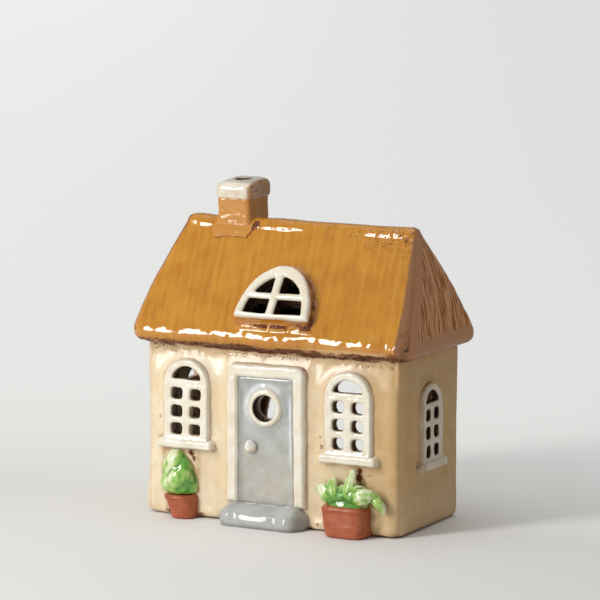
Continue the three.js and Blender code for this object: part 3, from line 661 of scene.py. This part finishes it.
def house_body():
    nodes = ["floor_slab", "front_wall", "rear_wall", "right_wall", "left_wall"]
    clay = clay_of("house_body", nodes, 0.8)
    clay.soften(4)
    points = clay.points
    x, y, z = points.T
    out = most(np.abs(x) - RIGHT, np.abs(y) + FRONT)
    outside = fade(out, -2.4, -0.8)
    panes = np.where(y < FRONT + WALL_ZONE, nearest_sprig(points, FRONT_WINDOWS, 0), FAR)
    panes = np.where(x > RIGHT - WALL_ZONE, sprig_gap(points, "right_side_window", 1), panes)
    panes = np.where(x < LEFT + WALL_ZONE, sprig_gap(points, "left_side_window", 1), panes)
    normals = np.abs(clay.normals())
    flat = np.where(np.abs(x) > RIGHT - WALL_ZONE, normals[:, 0], normals[:, 1])
    # Each pane's hole is cut wider behind the lattice, so that little of its depth shows
    clay.push(-0.9 * fade(panes, -1, -1.8) * fade(flat, 0.8, 0.4))
    front = fade(y, FRONT + 1.6, FRONT + 0.5) * outside
    rear = fade(y, -FRONT - 1.6, -FRONT - 0.5) * outside
    right = fade(x, RIGHT - 1.6, RIGHT - 0.5) * outside
    left = fade(x, LEFT + 1.6, LEFT + 0.5) * outside
    gap = np.where(front > 0, nearest_sprig(points, FRONT_SPRIGS, 0), FAR)
    for side, name in ((right, "right_side"), (left, "left_side")):
        sprigs = [name + "_window", name + "_sill"]
        gap = np.where(side > 0, nearest_sprig(points, sprigs, 1), gap)
    # The slip smoothed round each sprig leaves a low swelling with a dip beyond it
    swelling = 0.45 * fade(gap, 3.4, 0.2) - 0.16 * fade(gap, 3, 4.6) * fade(gap, 9, 5)
    swelling *= fade(gap, -2.5, -0.4)
    lumps = 0.1 * clay.rough(9, 5, 2) + 0.3 * clay.noise((24, 24, 40), 9)
    # Glaze that ran down in drips from the eave
    drips = clay.rough((4.4, 4.4, 13), 13, 2)
    lumps += 0.07 * drips * fade(z, 36, 50) * fade(z, 66, 60) * (front + rear)
    drawn_in = 2.1 * fade(z, 63.5, 78) * fade(z, SEAM + 0.4, SEAM - 1.4)
    spread = 1.3 * left * fade(z, 34, 2)
    clay.push(outside * (swelling + lumps * fade(z, 0.5, 4) + spread - drawn_in * (front + rear)))
    clay.push(front * spots(x, z, FOOT_LUMPS))
    seam = fade(z, SEAM - 2.8, SEAM - 0.8)
    broken = clay.rough((7, 7, 2.5), 17, 3)
    foot = fade(z, 1.6, 0.2) * outside
    crust = most(
        front * seam * (0.85 + 0.5 * broken),
        (0.44 + 0.1 * broken) * front * fade(z, SEAM - 7, SEAM - 3.5),
        # Painted shadow: a dark line along the right wall's top, under the eave
        1.1 * right * fade(z, SEAM - 1.3, SEAM - 0.7),
        front * spots(x, z, BURNT_FRONT),
        right * spots(y, z, BURNT_RIGHT),
        (rear + left) * seam * (0.3 + 0.4 * broken),
        foot * (0.25 + 0.5 * clay.rough((9, 9, 4), 29, 2)),
    )
    clay.push(crust * 0.3 * clay.rough(1.6, 31, 2))
    # Painted shade under the eave: the wall just below it is tinted browner, and a darker beige band runs
    # along the front
    under_eave = fade(z, SEAM - 5.5, SEAM - 1.2) * outside
    # A brown line round each sprig: glaze pooled at its foot, and painted shade
    halo = fade(gap, 2.2, 0.1) * fade(gap, -2, -0.5) * (0.5 + 0.4 * clay.noise(6, 41))
    corner_flow = front * fade(x, LEFT + 5, LEFT + 0.5) * fade(z, 20, 40) * 0.35
    # Painted shade in the crease beside the trough
    beside_trough = front * spots(x, z, [(50.6, 10.5, 1.8, 0.9), (50.2, 6, 1.5, 0.8)])
    # The stain paint holds real stains and painted shade alike
    stain = most(0.55 * under_eave, halo, foot * 0.5, corner_flow, beside_trough)
    # Painted light: the inside wall beside the left window is painted lighter, as if lit through it, and
    # shows through the front one
    lining = fade(x, LEFT + 6, LEFT + 3) * fade(sprig_gap(points, "left_side_window", 1), 8, 5)
    # Painted shade, with a deeper glaze tone: darker toward the right of the front and on the right wall,
    # less so low down
    deep_glaze = most(fade(x, -5, RIGHT), right * (0.5 - 0.45 * fade(y, -24, 6)))
    # Painted light: a spot below the right sill, in its shadow, takes back some of the painted shade
    worn_spot = 0.8 * front * spots(x, z, [(26, 28, 14, 1)])
    clay.paint(
        crust=crust, stain=np.clip(stain, 0, 1),
        shade=deep_glaze * (1 - fade(z, 30, 0) * 0.3) * (1 - worn_spot),
        # Painted shade: the inside and the reveals of the holes are tinted dark brown
        inside=(1 - outside) * (1 - 0.9 * lining),
        reveal=fade(gap, -1, -2) * fade(out, -0.2, -0.8), dull=most(right, fade(x, 40, RIGHT)),
        bare=0.85 * front * fade(z + clay.rough(5, 43, 2), SEAM - 6.4, SEAM - 4.6),
    )
    place(clay, "wall_glaze", wall_glaze(), *nodes)


# Roof

PEAK = 138.52  # where the slopes would meet above the rounded ridge
TAN_SLOPE = 1.4435
STEEPNESS = math.hypot(TAN_SLOPE, 1)
SLOPE_OUT = np.array([0, -TAN_SLOPE, 1]) / STEEPNESS
SLOPE_UP = np.array([0, 1, TAN_SLOPE]) / STEEPNESS
TIP, RIDGE = 85, 135.5  # the widest line of the roof and its crown
TIP_HALF, RIDGE_HALF, NOSE = 71.7, 57.6, 5
SLOPE_START = 86.7  # distances up the slope are measured from here
RIDGE_RADIUS, GABLE_BULGE, BRUSH_LEAN = 4, 1.9, 0.18
RAKE_ABOVE, RAKE_REACH = 31, 48  # the gable's rake marks spread from a point above the ridge
DORMER_X, DORMER_FOOT, DORMER_RISE, DORMER_HALF = 2, 92.6, 27.2, 18.6
BURNT_SLOPE = [
    (41, 56, 2, 0.5), (47, 57.5, 2.5, 0.55), (51, 55.5, 3, 0.6), (55, 53, 3, 0.6), (46, 53, 4, 0.45),
    (57.5, 57, 2, 0.7), (66, 6, 3, 0.6), (67, 12, 2.5, 0.5), (64, 20, 3, 0.42), (60, 38, 3, 0.42),
    (36, 58, 1.5, 0.6), (-22, 56, 2.2, 1.4), (-23.4, 54, 1.6, 1.2),
]


def length_at(z):
    """Half length of the roof: a round nose, then a gable that swells as it leans in."""
    t = most(z - TIP, 0) / (RIDGE - TIP)
    under = np.clip(TIP - z, 0, NOSE)
    nose = np.sqrt(NOSE**2 - under**2) - NOSE
    return TIP_HALF + (RIDGE_HALF - TIP_HALF) * t + 4 * GABLE_BULGE * t * (1 - t) + nose


def up_the_slope(z):
    return (z - SLOPE_START) * STEEPNESS / TAN_SLOPE


DORMER_START = up_the_slope(DORMER_FOOT)


def dormer_gap(x, rise):
    """Distance on the front slope from the half-round dormer's outline."""
    across, up = x - DORMER_X, rise - DORMER_START
    angle = np.arctan2(most(up, 0) / DORMER_RISE, across / DORMER_HALF)
    far = np.hypot(across, up)
    edge = np.hypot(DORMER_HALF * np.cos(angle), DORMER_RISE * np.sin(angle))
    return np.where(up > 0, far - edge, np.hypot(most(np.abs(across) - DORMER_HALF, 0), up))


def roof_body():
    nodes = ["front_roof_slope", "rear_roof_slope", "right_gable", "left_gable"]
    clay = clay_of("roof_body", nodes, 0.6)
    clay.soften(4)
    points = clay.points
    x, y, z = points.T
    depth = (PEAK - z - np.abs(y) * TAN_SLOPE) / STEEPNESS
    on_slope = fade(depth, 1.5, 0.7) * fade(z, TIP - 1, TIP + 1.5)
    # The gable's brown glaze reaches round the corner onto the front, furthest at the eave
    level = np.clip((z - TIP) / (RIDGE - TIP), 0, 1)
    reach = np.where(x > 0, 9 * (1 - level) ** 0.5 - 1.5, 1.8)
    reach = np.where(y < 0, reach, 1.8) + 0.25 * clay.noise(5, 55)
    on_gable = fade(length_at(most(z, TIP)) - np.abs(x) - reach, 0.5, -0.5)
    deep = np.minimum(depth, length_at(z) - np.abs(x))
    outside = np.where(z > TIP, fade(deep, 2.4, 1.2), 1)
    low = (z <= TIP) & (np.abs(y) < -FRONT - 1) & (np.abs(x) < RIGHT - 1)
    outside = np.where(low, 0, outside)
    fan = x - BRUSH_LEAN * np.abs(y)
    rise = up_the_slope(z)
    side = np.where(y < 0, 1, -1)  # the two slopes are brushed apart
    brush = np.stack([fan, rise / 14 + 3 * side, 0 * fan], axis=1)
    streak = 0.8 * noise(brush, (1.9, 1, 1), 51) + 0.35 * noise(brush, (5, 1.6, 1), 53)
    gap = np.where(y < 0, dormer_gap(x, rise), FAR)
    # The gables are raked from top to bottom behind a smooth front border
    fanned = np.where(y < 0, RAKE_REACH / ((PEAK - z) / TAN_SLOPE + RAKE_ABOVE), 1) * y
    raked = np.stack([fanned, z / 16, 0 * y], axis=1)
    grooves = rough_noise(raked, (1.9, 1, 1), 61, 2)
    border = depth - 5.6 - 1.2 * clay.noise(9, 63)
    carved = on_gable * np.where(y < 0, fade(border, -0.8, 0.8), fade(depth, 1.4, 2.6))
    carved *= fade(z + 2 * clay.noise((3, 3, 8), 65), TIP + 2.5, TIP + 6)
    roll = fade(z + 0.5 * clay.noise((7, 7, 7), 67), RIDGE - 4.6, RIDGE - 3)
    proud = 0.5 * bell(x, -55, 9) + 0.45 * bell(x, -9, 8)
    dabs = fade(x, 31, 37) * fade(x, 54, 50) * fade(y, -2.2, -3.6)
    proud += 0.24 * dabs * (1 + 1.7 * clay.noise(2.2, 69))
    roll = roll * (0.14 + proud) * on_slope
    lumps = 0.14 * clay.rough(9, 71, 3) + 0.2 * clay.noise((34, 20, 20), 73)
    dashes = 0.42 * clay.rough((9, 14, 14), 74, 2) * fade(rise, 8, 1)
    swelling = 0.5 * fade(gap, 2.6, 0.2) * fade(gap, -2.5, -0.4)
    beneath = fade(np.abs(x - DORMER_X), DORMER_HALF + 2.5, DORMER_HALF - 0.5) * (y < 0)
    beneath *= 0.9 + 1.1 * clay.noise((2.6, 9, 9), 75)
    under = DORMER_START - rise
    sill = fade(under, 4.2, 2.6) * fade(under, 0.4, 1.6)
    swelling = np.where(x > DORMER_X + 8, 0.4, 1) * swelling + 0.8 * sill * beneath
    brushing = 0.09 * streak * on_slope * fade(gap, 1, 3) * fade(rise, 2, 8)
    clay.push(outside * (brushing + 0.22 * grooves * carved + lumps + dashes + roll + swelling))
    broken = clay.rough((8, 8, 3), 77, 3)
    front = fade(y, 0, -4)
    eave = fade(z, SEAM + 3.8, SEAM + 1.4) * fade(z, SEAM - 1, SEAM)
    near_corner = np.exp(-((x - 63) ** 2 + (y + 32) ** 2 + (z - 80.5) ** 2) / 26)
    far_corner = np.exp(-((x - 66) ** 2 + (y - 33) ** 2 + (z - 81) ** 2) / 12)
    right_of_dormer = fade(gap, 1.6, 0.4) * fade(gap, -1, 0) * fade(x, DORMER_X + 4, DORMER_X + 10)
    below = fade(under, 3.4, 2.4) * fade(under, 0.6, 1.6) * beneath
    crust = most(
        front * eave * (0.85 + 0.5 * broken) * fade(np.abs(x), RIGHT + 5, RIGHT + 2),
        1.5 * most(near_corner, far_corner),
        (1 - front) * eave * (0.3 + 0.4 * broken),
        on_slope * front * spots(x, rise, BURNT_SLOPE),
        right_of_dormer * (0.6 + 0.5 * broken),
        below * on_slope * (0.6 + 0.6 * broken),
    )
    clay.push(crust * 0.35 * clay.rough(1.5, 79, 2) * outside)
    edge = np.clip(clay.bend(4) * 2.2, 0, 1) * outside
    # Painted shade round the dormer; a little darker too low on the front eave
    stain = np.clip(fade(gap, 3.4, 0.5) * 0.3 + 0.12 * front * fade(z, SEAM + 5, SEAM + 2), 0, 1)
    # Painted reflection: a paler strip along the lower nose of the front eave
    pale = 0.5 * front * fade(x, 5, 40) * fade(x, 64, 56) * fade(z, SEAM + 4.6, SEAM + 2.6)
    # Painted shade: the gable's smooth band is darker where it faces the front and the lamp
    turned = fade(np.abs(clay.normals()[:, 0]), 0.9, 0.5)
    near_rake = fade(length_at(most(z, TIP)) - x, 13, 6) * fade(rise, 8, 40) * 0.6
    line = fade(x, 12, 30) * bell(rise, 54.5, 1.6)
    pepper = most(near_rake, fade(x, 26, 44) * fade(rise, 42, 54), line) * front
    pepper = np.clip(pepper * (0.75 + 0.6 * clay.rough(6, 81, 2)), 0, 1) * on_slope
    streak = np.where(carved > 0.5, grooves, streak)
    fan = np.where(carved > 0, fanned, fan)
    clay.paint(crust=crust, streak=streak, edge=edge, carved=carved, gable=on_gable, stain=stain)
    clay.paint(inside=1 - outside, fan=fan, rise=rise, turned=turned, pepper=pepper, pale=pale)
    place(clay, "roof_glaze", roof_glaze(), *nodes)


# Sprigs on the walls

# A point on each wall, the way out of it and the axis along it
WALL_FACES = {
    "front": ((0, FRONT, 0), (0, -1, 0), 0),
    "right": ((RIGHT, 0, 0), (1, 0, 0), 1),
    "left": ((LEFT, 0, 0), (-1, 0, 0), 1),
}


def sprig(nodes, wall, voxel, lumps, flare=0.45, rounds=3):
    """A relief on a wall, with soft edges and a foot that runs out into the wall."""
    origin, outward, axis = WALL_FACES[wall]
    clay = clay_of(nodes[0] + "_clay", nodes, voxel, sunk(origin, outward))
    clay.soften(rounds)
    height = (clay.points - origin) @ outward
    rim = fade(nearest_sprig(clay.points, nodes, axis), -1.6, -0.6)
    clay.push(0.04 + (0.12 + flare * fade(height, 1.3, 0.1)) * rim)
    clay.waver()
    clay.push(lumps * clay.rough(5, 83, 3) * fade(clay.points[:, 2], 0, 2))
    return clay, height


def crusted(clay, level, size, seed):
    """Burnt specks where a level between 0 and 1 allows them."""
    return level * (0.5 + 0.6 * clay.rough(size, seed, 3))


def windows(cream):
    for name in ("front_left", "front_right", "right_side", "left_side"):
        wall = name.split("_")[0]
        window, sill = name + "_window", name + "_sill"
        clay, height = sprig([window, sill], wall, voxel=0.42, lumps=0.2, rounds=6)
        z = clay.points[:, 2]
        foot, top = span(sill)[0][2], span(sill)[1][2]
        pane = fade(sprig_gap(clay.points, window, WALL_FACES[wall][2]), -1.2, -2)
        pane *= fade(z, top - 0.5, top + 0.5)
        below = fade(z, foot + 1, foot)
        clogged = 0.75 if wall == "right" else 0.3
        # Browner and specked next to the wall: glaze gone thin there, and painted shade
        crust = most(clogged * fade(height, 0.9, 0.1), 0.8 * below * fade(height, 2.2, 0.8))
        stain = 0.75 * fade(height, 1.2, 0) * (0.6 + 0.4 * clay.noise(4, 89))
        # Painted shade: the panes' reveals are painted dark and brown
        dark = {"front": 0.7 * fade(height, 1.4, 0.6), "right": fade(height, 1.9, 1.4), "left": 0}[wall]
        worn = 0
        # Painted shade: the window on the right wall is painted browner, most near the wall and on its
        # front flank
        if wall == "right":
            near = span(window)[0][1]
            flank = 0.8 * fade(clay.points[:, 1], near + 1.6, near + 0.2)
            worn = most(0.3 + 0.6 * fade(height, 1.7, 1), flank)
        if name == "front_left":
            # Painted light: the right panes' far edge is painted as lit brown clay with specks, in place
            # of the dark inside
            lit = fade(clay.points[:, 0], -42.5, -41.5) * pane * fade(height, 1.6, 0.8)
            dark *= 1 - lit
            crust = most(crust, 0.9 * lit)
            stain = most(stain, 0.7 * lit)
        clay.paint(
            crust=crusted(clay, most(crust, 0.7 * worn), 3, 87),
            stain=most(stain, 0.5 * below, 0.8 * pane * fade(height, 1.8, 1.2), worn),
            inside=pane * dark,
        )
        place(clay, "cream_glaze", cream, window, sill)


def door(cream, grey):
    clay, height = sprig(["door_frame"], "front", voxel=0.5, lumps=0.22, flare=0.4, rounds=4)
    z = clay.points[:, 2]
    # Painted shade: the frame darkens toward the wall along its flanks
    clay.paint(
        crust=crusted(clay, 0.5 * fade(height, 0.8, 0.1) * fade(z, 20, 6), 4, 93),
        stain=0.8 * fade(height, 1.8, 0.2) * (0.75 + 0.3 * clay.noise(6, 95)),
    )
    place(clay, "cream_glaze", cream, "door_frame")

    clay, height = sprig(["door_leaf"], "front", voxel=0.6, lumps=0.2, flare=0, rounds=2)
    x, _, z = clay.points.T
    low, high = span("door_leaf")
    ring_low, ring_high = span("porthole_ring")
    middle = (ring_low + ring_high) / 2
    ring_radius = (ring_high[0] - ring_low[0]) / 2
    halo = np.hypot(x - middle[0], z - middle[2]) - ring_radius
    # The glaze pools against the frame and round the ring
    shore = np.minimum.reduce([x - low[0], high[0] - x, high[2] - z])
    pooled = most(0.6 * fade(shore, 3, 0.3), 0.6 * fade(halo, 3.6, 0.2) * fade(halo, -3, -1))
    clay.push(pooled * fade(height, 0.8, 1.1))
    uneven = 0.6 + 0.4 * clay.rough(3, 97, 2)
    # Painted highlight: a pale crescent round the ring's upper left and a pale line down the leaf's right
    # side
    pale = np.exp(-((halo - 1.5) ** 2) / 2.2) * fade(z - x, middle[2] - 4, middle[2] + 8)
    right_line = fade(np.abs(x - high[0] + 1.8), 0.9, 0.2) * fade(z, 26, 34) * fade(z, 62, 56)
    shaded = 0.9 * fade(x, low[0] + 1.6, low[0] + 0.6)
    # Painted shade: the hole in the leaf is painted dark
    clay.paint(
        stain=most(0.5 * fade(z, low[2] + 4, low[2]) * uneven, 0.5 * fade(z, 44, 62) * uneven, shaded),
        warm=0.8 * fade(z, middle[2] - 8, low[2] + 6) * uneven,
        pale=0.95 * most(pale, right_line) * (0.4 + 0.6 * uneven), inside=fade(halo, -2.2, -2.8),
    )
    place(clay, "grey_glaze", grey, "door_leaf")

    face = (0, low[1], 0), (0, -1, 0)
    in_leaf = sunk(*face, reach=0.2, depth=0.9)
    clay = clay_of("porthole_ring_clay", ["porthole_ring"], 0.35, in_leaf)
    clay.soften(3)
    height = (clay.points - face[0]) @ face[1]
    clay.push(0.1 + 0.3 * fade(height, 0.9, 0))
    # The ring's bore is opened a little, as a wet thumb leaves it
    spoke = (clay.points - middle) * (1, 0, 1)
    radius = np.linalg.norm(spoke, axis=1)
    bore = ring_radius - RING_THICK
    clay.points += spoke / radius[:, None] * 0.6 * fade(radius, bore + 0.6, bore - 0.4)[:, None]
    clay.waver()
    clay.push(0.1 * clay.rough(4, 99, 2))
    # The ring's bore is painted dark: painted shade in the hole
    reveal = fade(radius, bore + 1, bore + 0.2) * fade(height, 2.4, 1.6)
    clay.paint(stain=0.6 * fade(height, 1, 0), inside=reveal)
    place(clay, "cream_glaze", cream, "porthole_ring")

    clay = clay_of("door_knob_clay", ["door_knob"], 0.3, in_leaf)
    clay.soften(4)
    clay.waver()
    low, high = span("door_knob")
    middle = (low + high) / 2
    # Two blobs, one over the other
    x, _, z = (clay.points - middle).T
    upper = np.hypot(x + 0.3, z - 1.6)
    lower = np.hypot(0.7 * x, z + 1.3)
    clay.push(0.9 * np.exp(-(upper**2) / 2.2) + 0.8 * np.exp(-(lower**2) / 1.4) - 0.45)
    z = clay.points[:, 2] - middle[2]
    # Painted highlight: the upper blob is painted pale, the lower one stained toward its bottom
    clay.paint(stain=0.35 * fade(z, -0.6, low[2] - middle[2]), pale=0.8 * fade(z, -0.4, 1.2))
    place(clay, "cream_glaze", cream, "door_knob")

    clay, height = sprig(["doorstep"], "front", voxel=0.5, lumps=0, flare=0.2, rounds=16)
    x, _, z = clay.points.T
    low, high = span("doorstep")
    end = fade(np.minimum(x - low[0], high[0] - x), 7, 1)
    knobs = bell(x, low[0] + 4, 3.4) + bell(x, high[0] - 5, 3.8)
    necks = bell(x, low[0] + 10, 2.4) + bell(x, high[0] - 12, 2.4)
    lumps = 0.35 * clay.rough((21, 14, 14), 103, 2) + 0.6 * knobs - 0.35 * necks
    lumps *= fade(z, 0, 3)
    clay.push(lumps + 0.5 * end * clay.noise(6, 104))
    z -= 1.5 * fade(x, low[0] + 9, low[0] + 1) * fade(z, 4, high[2])
    clay.melt(4)
    edge = np.clip(clay.bend(4) * 1.5, 0, 1)
    pits = end * fade(z, 8, 5)
    clay.paint(
        stain=np.clip(0.9 * fade(z, 2.6, 0.4) - 0.4 * edge + 0.5 * pits, 0, 1),
        crust=crusted(clay, most(0.5 * fade(z, 1.2, 0), 0.4 * pits), 4, 105),
        warm=0.8 * fade(z, 2, 0.3), dull=np.ones(len(z)),
    )
    place(clay, "grey_glaze", grey, "doorstep")


# Dormer and chimney


def dormer(cream):
    foot = (0, -(PEAK - DORMER_FOOT) / TAN_SLOPE, DORMER_FOOT)
    in_slope = sunk(foot, SLOPE_OUT, reach=0.6, depth=1.6)
    clay = clay_of("dormer_window_clay", ["dormer_window"], 0.45, in_slope)
    clay.soften(4)
    height = (clay.points - foot) @ SLOPE_OUT
    clay.push(0.16 + 0.5 * fade(height, 1.5, 0.1))
    clay.waver()
    clay.push(0.16 * clay.rough(6, 107, 3))
    x, _, z = clay.points.T
    rise = up_the_slope(z - DORMER_LIFT * height)
    above_foot = rise - DORMER_START
    pane = fade(dormer_gap(x, rise), -1.6, -2.6) * fade(above_foot, 1.4, 2.2)
    ragged = height + 0.3 * clay.noise(2.4, 110)
    # A fillet of roof clay carries the lower edge
    slump = 0.8 * fade(height, 5, 0) * fade(above_foot, 1.2, 0.4)
    clay.points -= slump[:, None] * SLOPE_UP
    burnt = 1.1 * fade(x, DORMER_X + 4, DORMER_X + 10) * fade(ragged, 3.8, 3)
    # Painted shade: the panes are painted dark
    clay.paint(
        crust=crusted(clay, most(0.35 * fade(height, 1.2, 0), burnt), 3, 109),
        backing=fade(ragged, 3.5, 2.9), stain=most(0.6 * fade(ragged, 4.2, 3.2), 0.06),
        inside=pane * fade(height, 4.5, 4.2),
    )
    place(clay, "cream_glaze", cream, "dormer_window")


def chimney(roof, cream):
    low, high = span("chimney_stack")

    def seated(points):
        """The saddle's underside goes into the roof's clay, and the top into the cap."""
        bend = RIDGE_RADIUS * math.sin(math.atan(TAN_SLOPE))
        y, z = np.abs(points[:, 1]), points[:, 2]
        arch = RIDGE - RIDGE_RADIUS + np.sqrt(most(RIDGE_RADIUS**2 - y**2, 0))
        under = z < np.where(y > bend, PEAK - y * TAN_SLOPE, arch) + 0.75
        moved = points.copy()
        moved[:, 2] += STACK_SUNK * (np.where(z > high[2] - 0.1, 1, 0) - np.where(under, 1, 0))
        return moved

    clay = clay_of("chimney_stack_clay", ["chimney_stack"], 0.5, seated)
    clay.soften(4)
    clay.push(np.full(len(clay.points), 0.1))
    clay.waver()
    x, y, z = clay.points.T
    course, brick = 2.5, 6.4
    level = (z - low[2] + 0.25 * clay.noise(7, 115)) / course
    row = np.floor(level)
    level -= row
    along = x + y + brick / 2 * np.mod(row, 2)
    joint = np.abs(np.mod(along, brick) / brick - 0.5)
    courses = fade(np.abs(level - 0.5), 0.25, 0.5)
    lines = most(courses, fade(joint, 0.42, 0.5) * 0.6)
    off_middle = np.abs(clay.points - (low + high) / 2)[:, :2]
    outside = 1 - np.all(off_middle < FLUE_HALF, axis=1)
    above_roof = z - PEAK + np.abs(y) * TAN_SLOPE
    # The even flare is drawn in, so that only the lowest clay runs out onto the roof
    short = np.clip(1 - above_roof / 7, 0, 1)
    front_face = fade(clay.normals()[:, 1], -0.4, -0.8)
    right_face = fade(clay.normals()[:, 0], 0.4, 0.8)
    left_lump = front_face * bell(x, low[0] + 5, 4.5)
    waist = 3 * short**2 - (1.6 + 0.2 * front_face + 2.2 * left_lump) * fade(above_roof, 2.6, 0)
    uneven = 0.16 * clay.rough((6, 6, 3), 111, 2)
    clay.push(outside * (uneven - 0.09 * lines - waist))
    slump = 1.2 * fade(above_roof, 3.5, 0.4) * fade(y, 1, -3)
    clay.points -= slump[:, None] * SLOPE_UP
    edge = np.clip(clay.bend(4) * 1.8, 0, 1) * outside
    rest = fade(above_roof, 3.4, 0.6)
    # Painted shade in the pocket behind the stack's right foot, as crust and dark inside
    behind = right_face * fade(above_roof, 5, 2) * fade(y, 3, -1) * fade(y, -9, -5)
    patchy = 0.5 + 0.5 * clay.rough(5, 114, 2)
    # Painted shade darkens the right face; painted reflections lighten the front face in patches
    clay.paint(
        crust=most(crusted(clay, 0.3 * rest + 0.45 * right_face, 3, 113), 2 * behind),
        edge=0.6 * edge, streak=0.5 - 1.5 * lines, inside=most(1 - outside, 0.6 * behind),
        stain=0.3 * lines + right_face * (0.3 * patchy + 0.2 * lines + 0.55 * courses),
        pale=front_face * (0.2 + 0.6 * patchy) * (1 - 0.6 * lines), fan=0.6 * along, rise=12 * z,
    )
    place(clay, "roof_glaze", roof, "chimney_stack")

    clay = clay_of("chimney_cap_clay", ["chimney_cap"], 0.4)
    clay.soften(12)
    clay.waver()
    clay.push(0.12 * clay.rough(8, 117, 2) + 0.1)
    low, high = span("chimney_cap")
    x, y, z = clay.points.T
    z -= 0.85 * fade(z, low[2] + 1, high[2] - 1)
    hole = np.hypot(x - (low[0] + high[0]) / 2, y - (low[1] + high[1]) / 2)
    # Painted shade: the right side is painted brown and speckled, and the hole dark
    side = fade(clay.normals()[:, 0], 0.25, 0.65)
    brim = fade(np.abs(clay.bend(3)), 0.02, 0.12) * fade(z, high[2] - 2.5, high[2] - 1)
    uneven = 0.7 + 0.4 * clay.noise(2.6, 119)
    front = 0.35 * fade(z, high[2] - 1.5, high[2] - 4)
    foot = 0.5 * fade(z, low[2] + 1.4, low[2])
    stain = most(0.8 * fade(hole, 5.2, 4.2), foot, 0.95 * side, 0.35 * brim, front)
    clay.paint(
        stain=np.clip(most(stain * uneven, 0.9 * side), 0, 1),
        crust=crusted(clay, 0.6 * side, 2, 118), inside=0.85 * fade(hole, 4.3, 3.8),
        backing=0.4 * side,
    )
    place(clay, "cream_glaze", cream, "chimney_cap")


# Pots and plants


def pots(clay_red):
    for node, seed in (("flower_pot", 121), ("planter_trough", 123)):
        clay, height = sprig([node], "front", voxel=0.45, lumps=0.09, flare=0.2)
        z = clay.points[:, 2]
        rings = clay.noise((30, 30, 1.5), seed)
        clay.push(0.04 * rings * fade(z, 0, 1.5))
        clay.paint(stain=np.clip(0.6 * fade(height, 1.6, 0) + 0.3 * fade(z, 1.4, 0), 0, 1))
        place(clay, "terracotta", clay_red, node)


def plants(leaf):
    clay, height = sprig(["shrub"], "front", voxel=0.45, lumps=0, flare=0.5, rounds=2)
    low, high = span("shrub")
    middle = (low[0] + high[0]) / 2
    clay.points[:, 0] -= 2.2 * fade(clay.points[:, 2], low[2] + 6, high[2])
    # Tufts of leaves, each a golden turn from the last and a step further up
    tufts, turn = 8, math.pi * (3 - math.sqrt(5))
    centres = []
    for i in range(tufts):
        t = (i + 0.5) / tufts
        along = math.cos(turn * i)
        z = low[2] + 1.5 + (high[2] - low[2] - 1) * t
        width = (1 - t**2.2) ** 0.5 * (high[0] - low[0]) / 2
        bulge = math.sqrt(max(1 - along**2, 0)) * (FRONT - low[1]) * (1 - t**3)
        centres.append((middle + along * width, FRONT - bulge, z))
    far = np.min([np.linalg.norm(clay.points - centre, axis=1) for centre in centres], axis=0)
    clay.push((0.5 - 0.05 * far**2).clip(-0.7, 1) * fade(height, 0, 1))
    clay.melt(6)
    x, _, z = clay.points.T
    # Painted light: paler on the left and at the top, toward the lamp, with a painted highlight on the
    # crest, over random tone
    pale = 0.25 * clay.noise(7, 125) + 0.3 * fade(x, middle + 1, low[0])
    pale += 0.2 * fade(z, high[2] - 4, high[2])
    crest = (x - middle + 2.5) ** 2 / 9 + (z - high[2] + 9) ** 2 / 50
    pale += 0.75 * np.exp(-crest)
    curve = clay.bend(4)
    clay.paint(
        edge=np.clip(curve * 0.7 + pale + 0.2, 0, 1), stain=np.clip(-curve * 2, 0, 1),
        crust=crusted(clay, 0.5 * fade(height, 0.7, 0), 3, 127), rim=0.8 * fade(height, 1, 0.2),
    )
    place(clay, "leaf_glaze", leaf, "shrub")

    clay, height = sprig(["fern"], "front", voxel=0.4, lumps=0.2, flare=0.4, rounds=2)
    curve = clay.bend(4)
    x, _, z = clay.points.T
    low, high = span("planter_trough")
    tip = np.hypot(x - (low[0] + high[0]) / 2, 1.2 * (z - high[2]))
    clay.paint(
        edge=np.clip(curve * 0.35 + fade(tip, 3, 13) * (0.75 + 0.3 * clay.noise(4, 131)), 0, 1),
        stain=np.clip(-curve * 1.2 + 0.5 * fade(tip, 8, 3), 0, 1),
        crust=crusted(clay, 0.3 * fade(height, 0.7, 0), 3, 129), rim=0.6 * fade(height, 0.8, 0.2),
    )
    place(clay, "leaf_glaze", leaf, "fern")


cream, grey = cream_glaze(), grey_glaze()
house_body()
roof_body()
windows(cream)
door(cream, grey)
dormer(cream)
chimney(bpy.data.materials["roof_glaze"], cream)
pots(terracotta())
plants(leaf_glaze())

studio_world()
studio_floor()
studio_camera()
studio_lamp()
scene.view_settings.view_transform = "Standard"
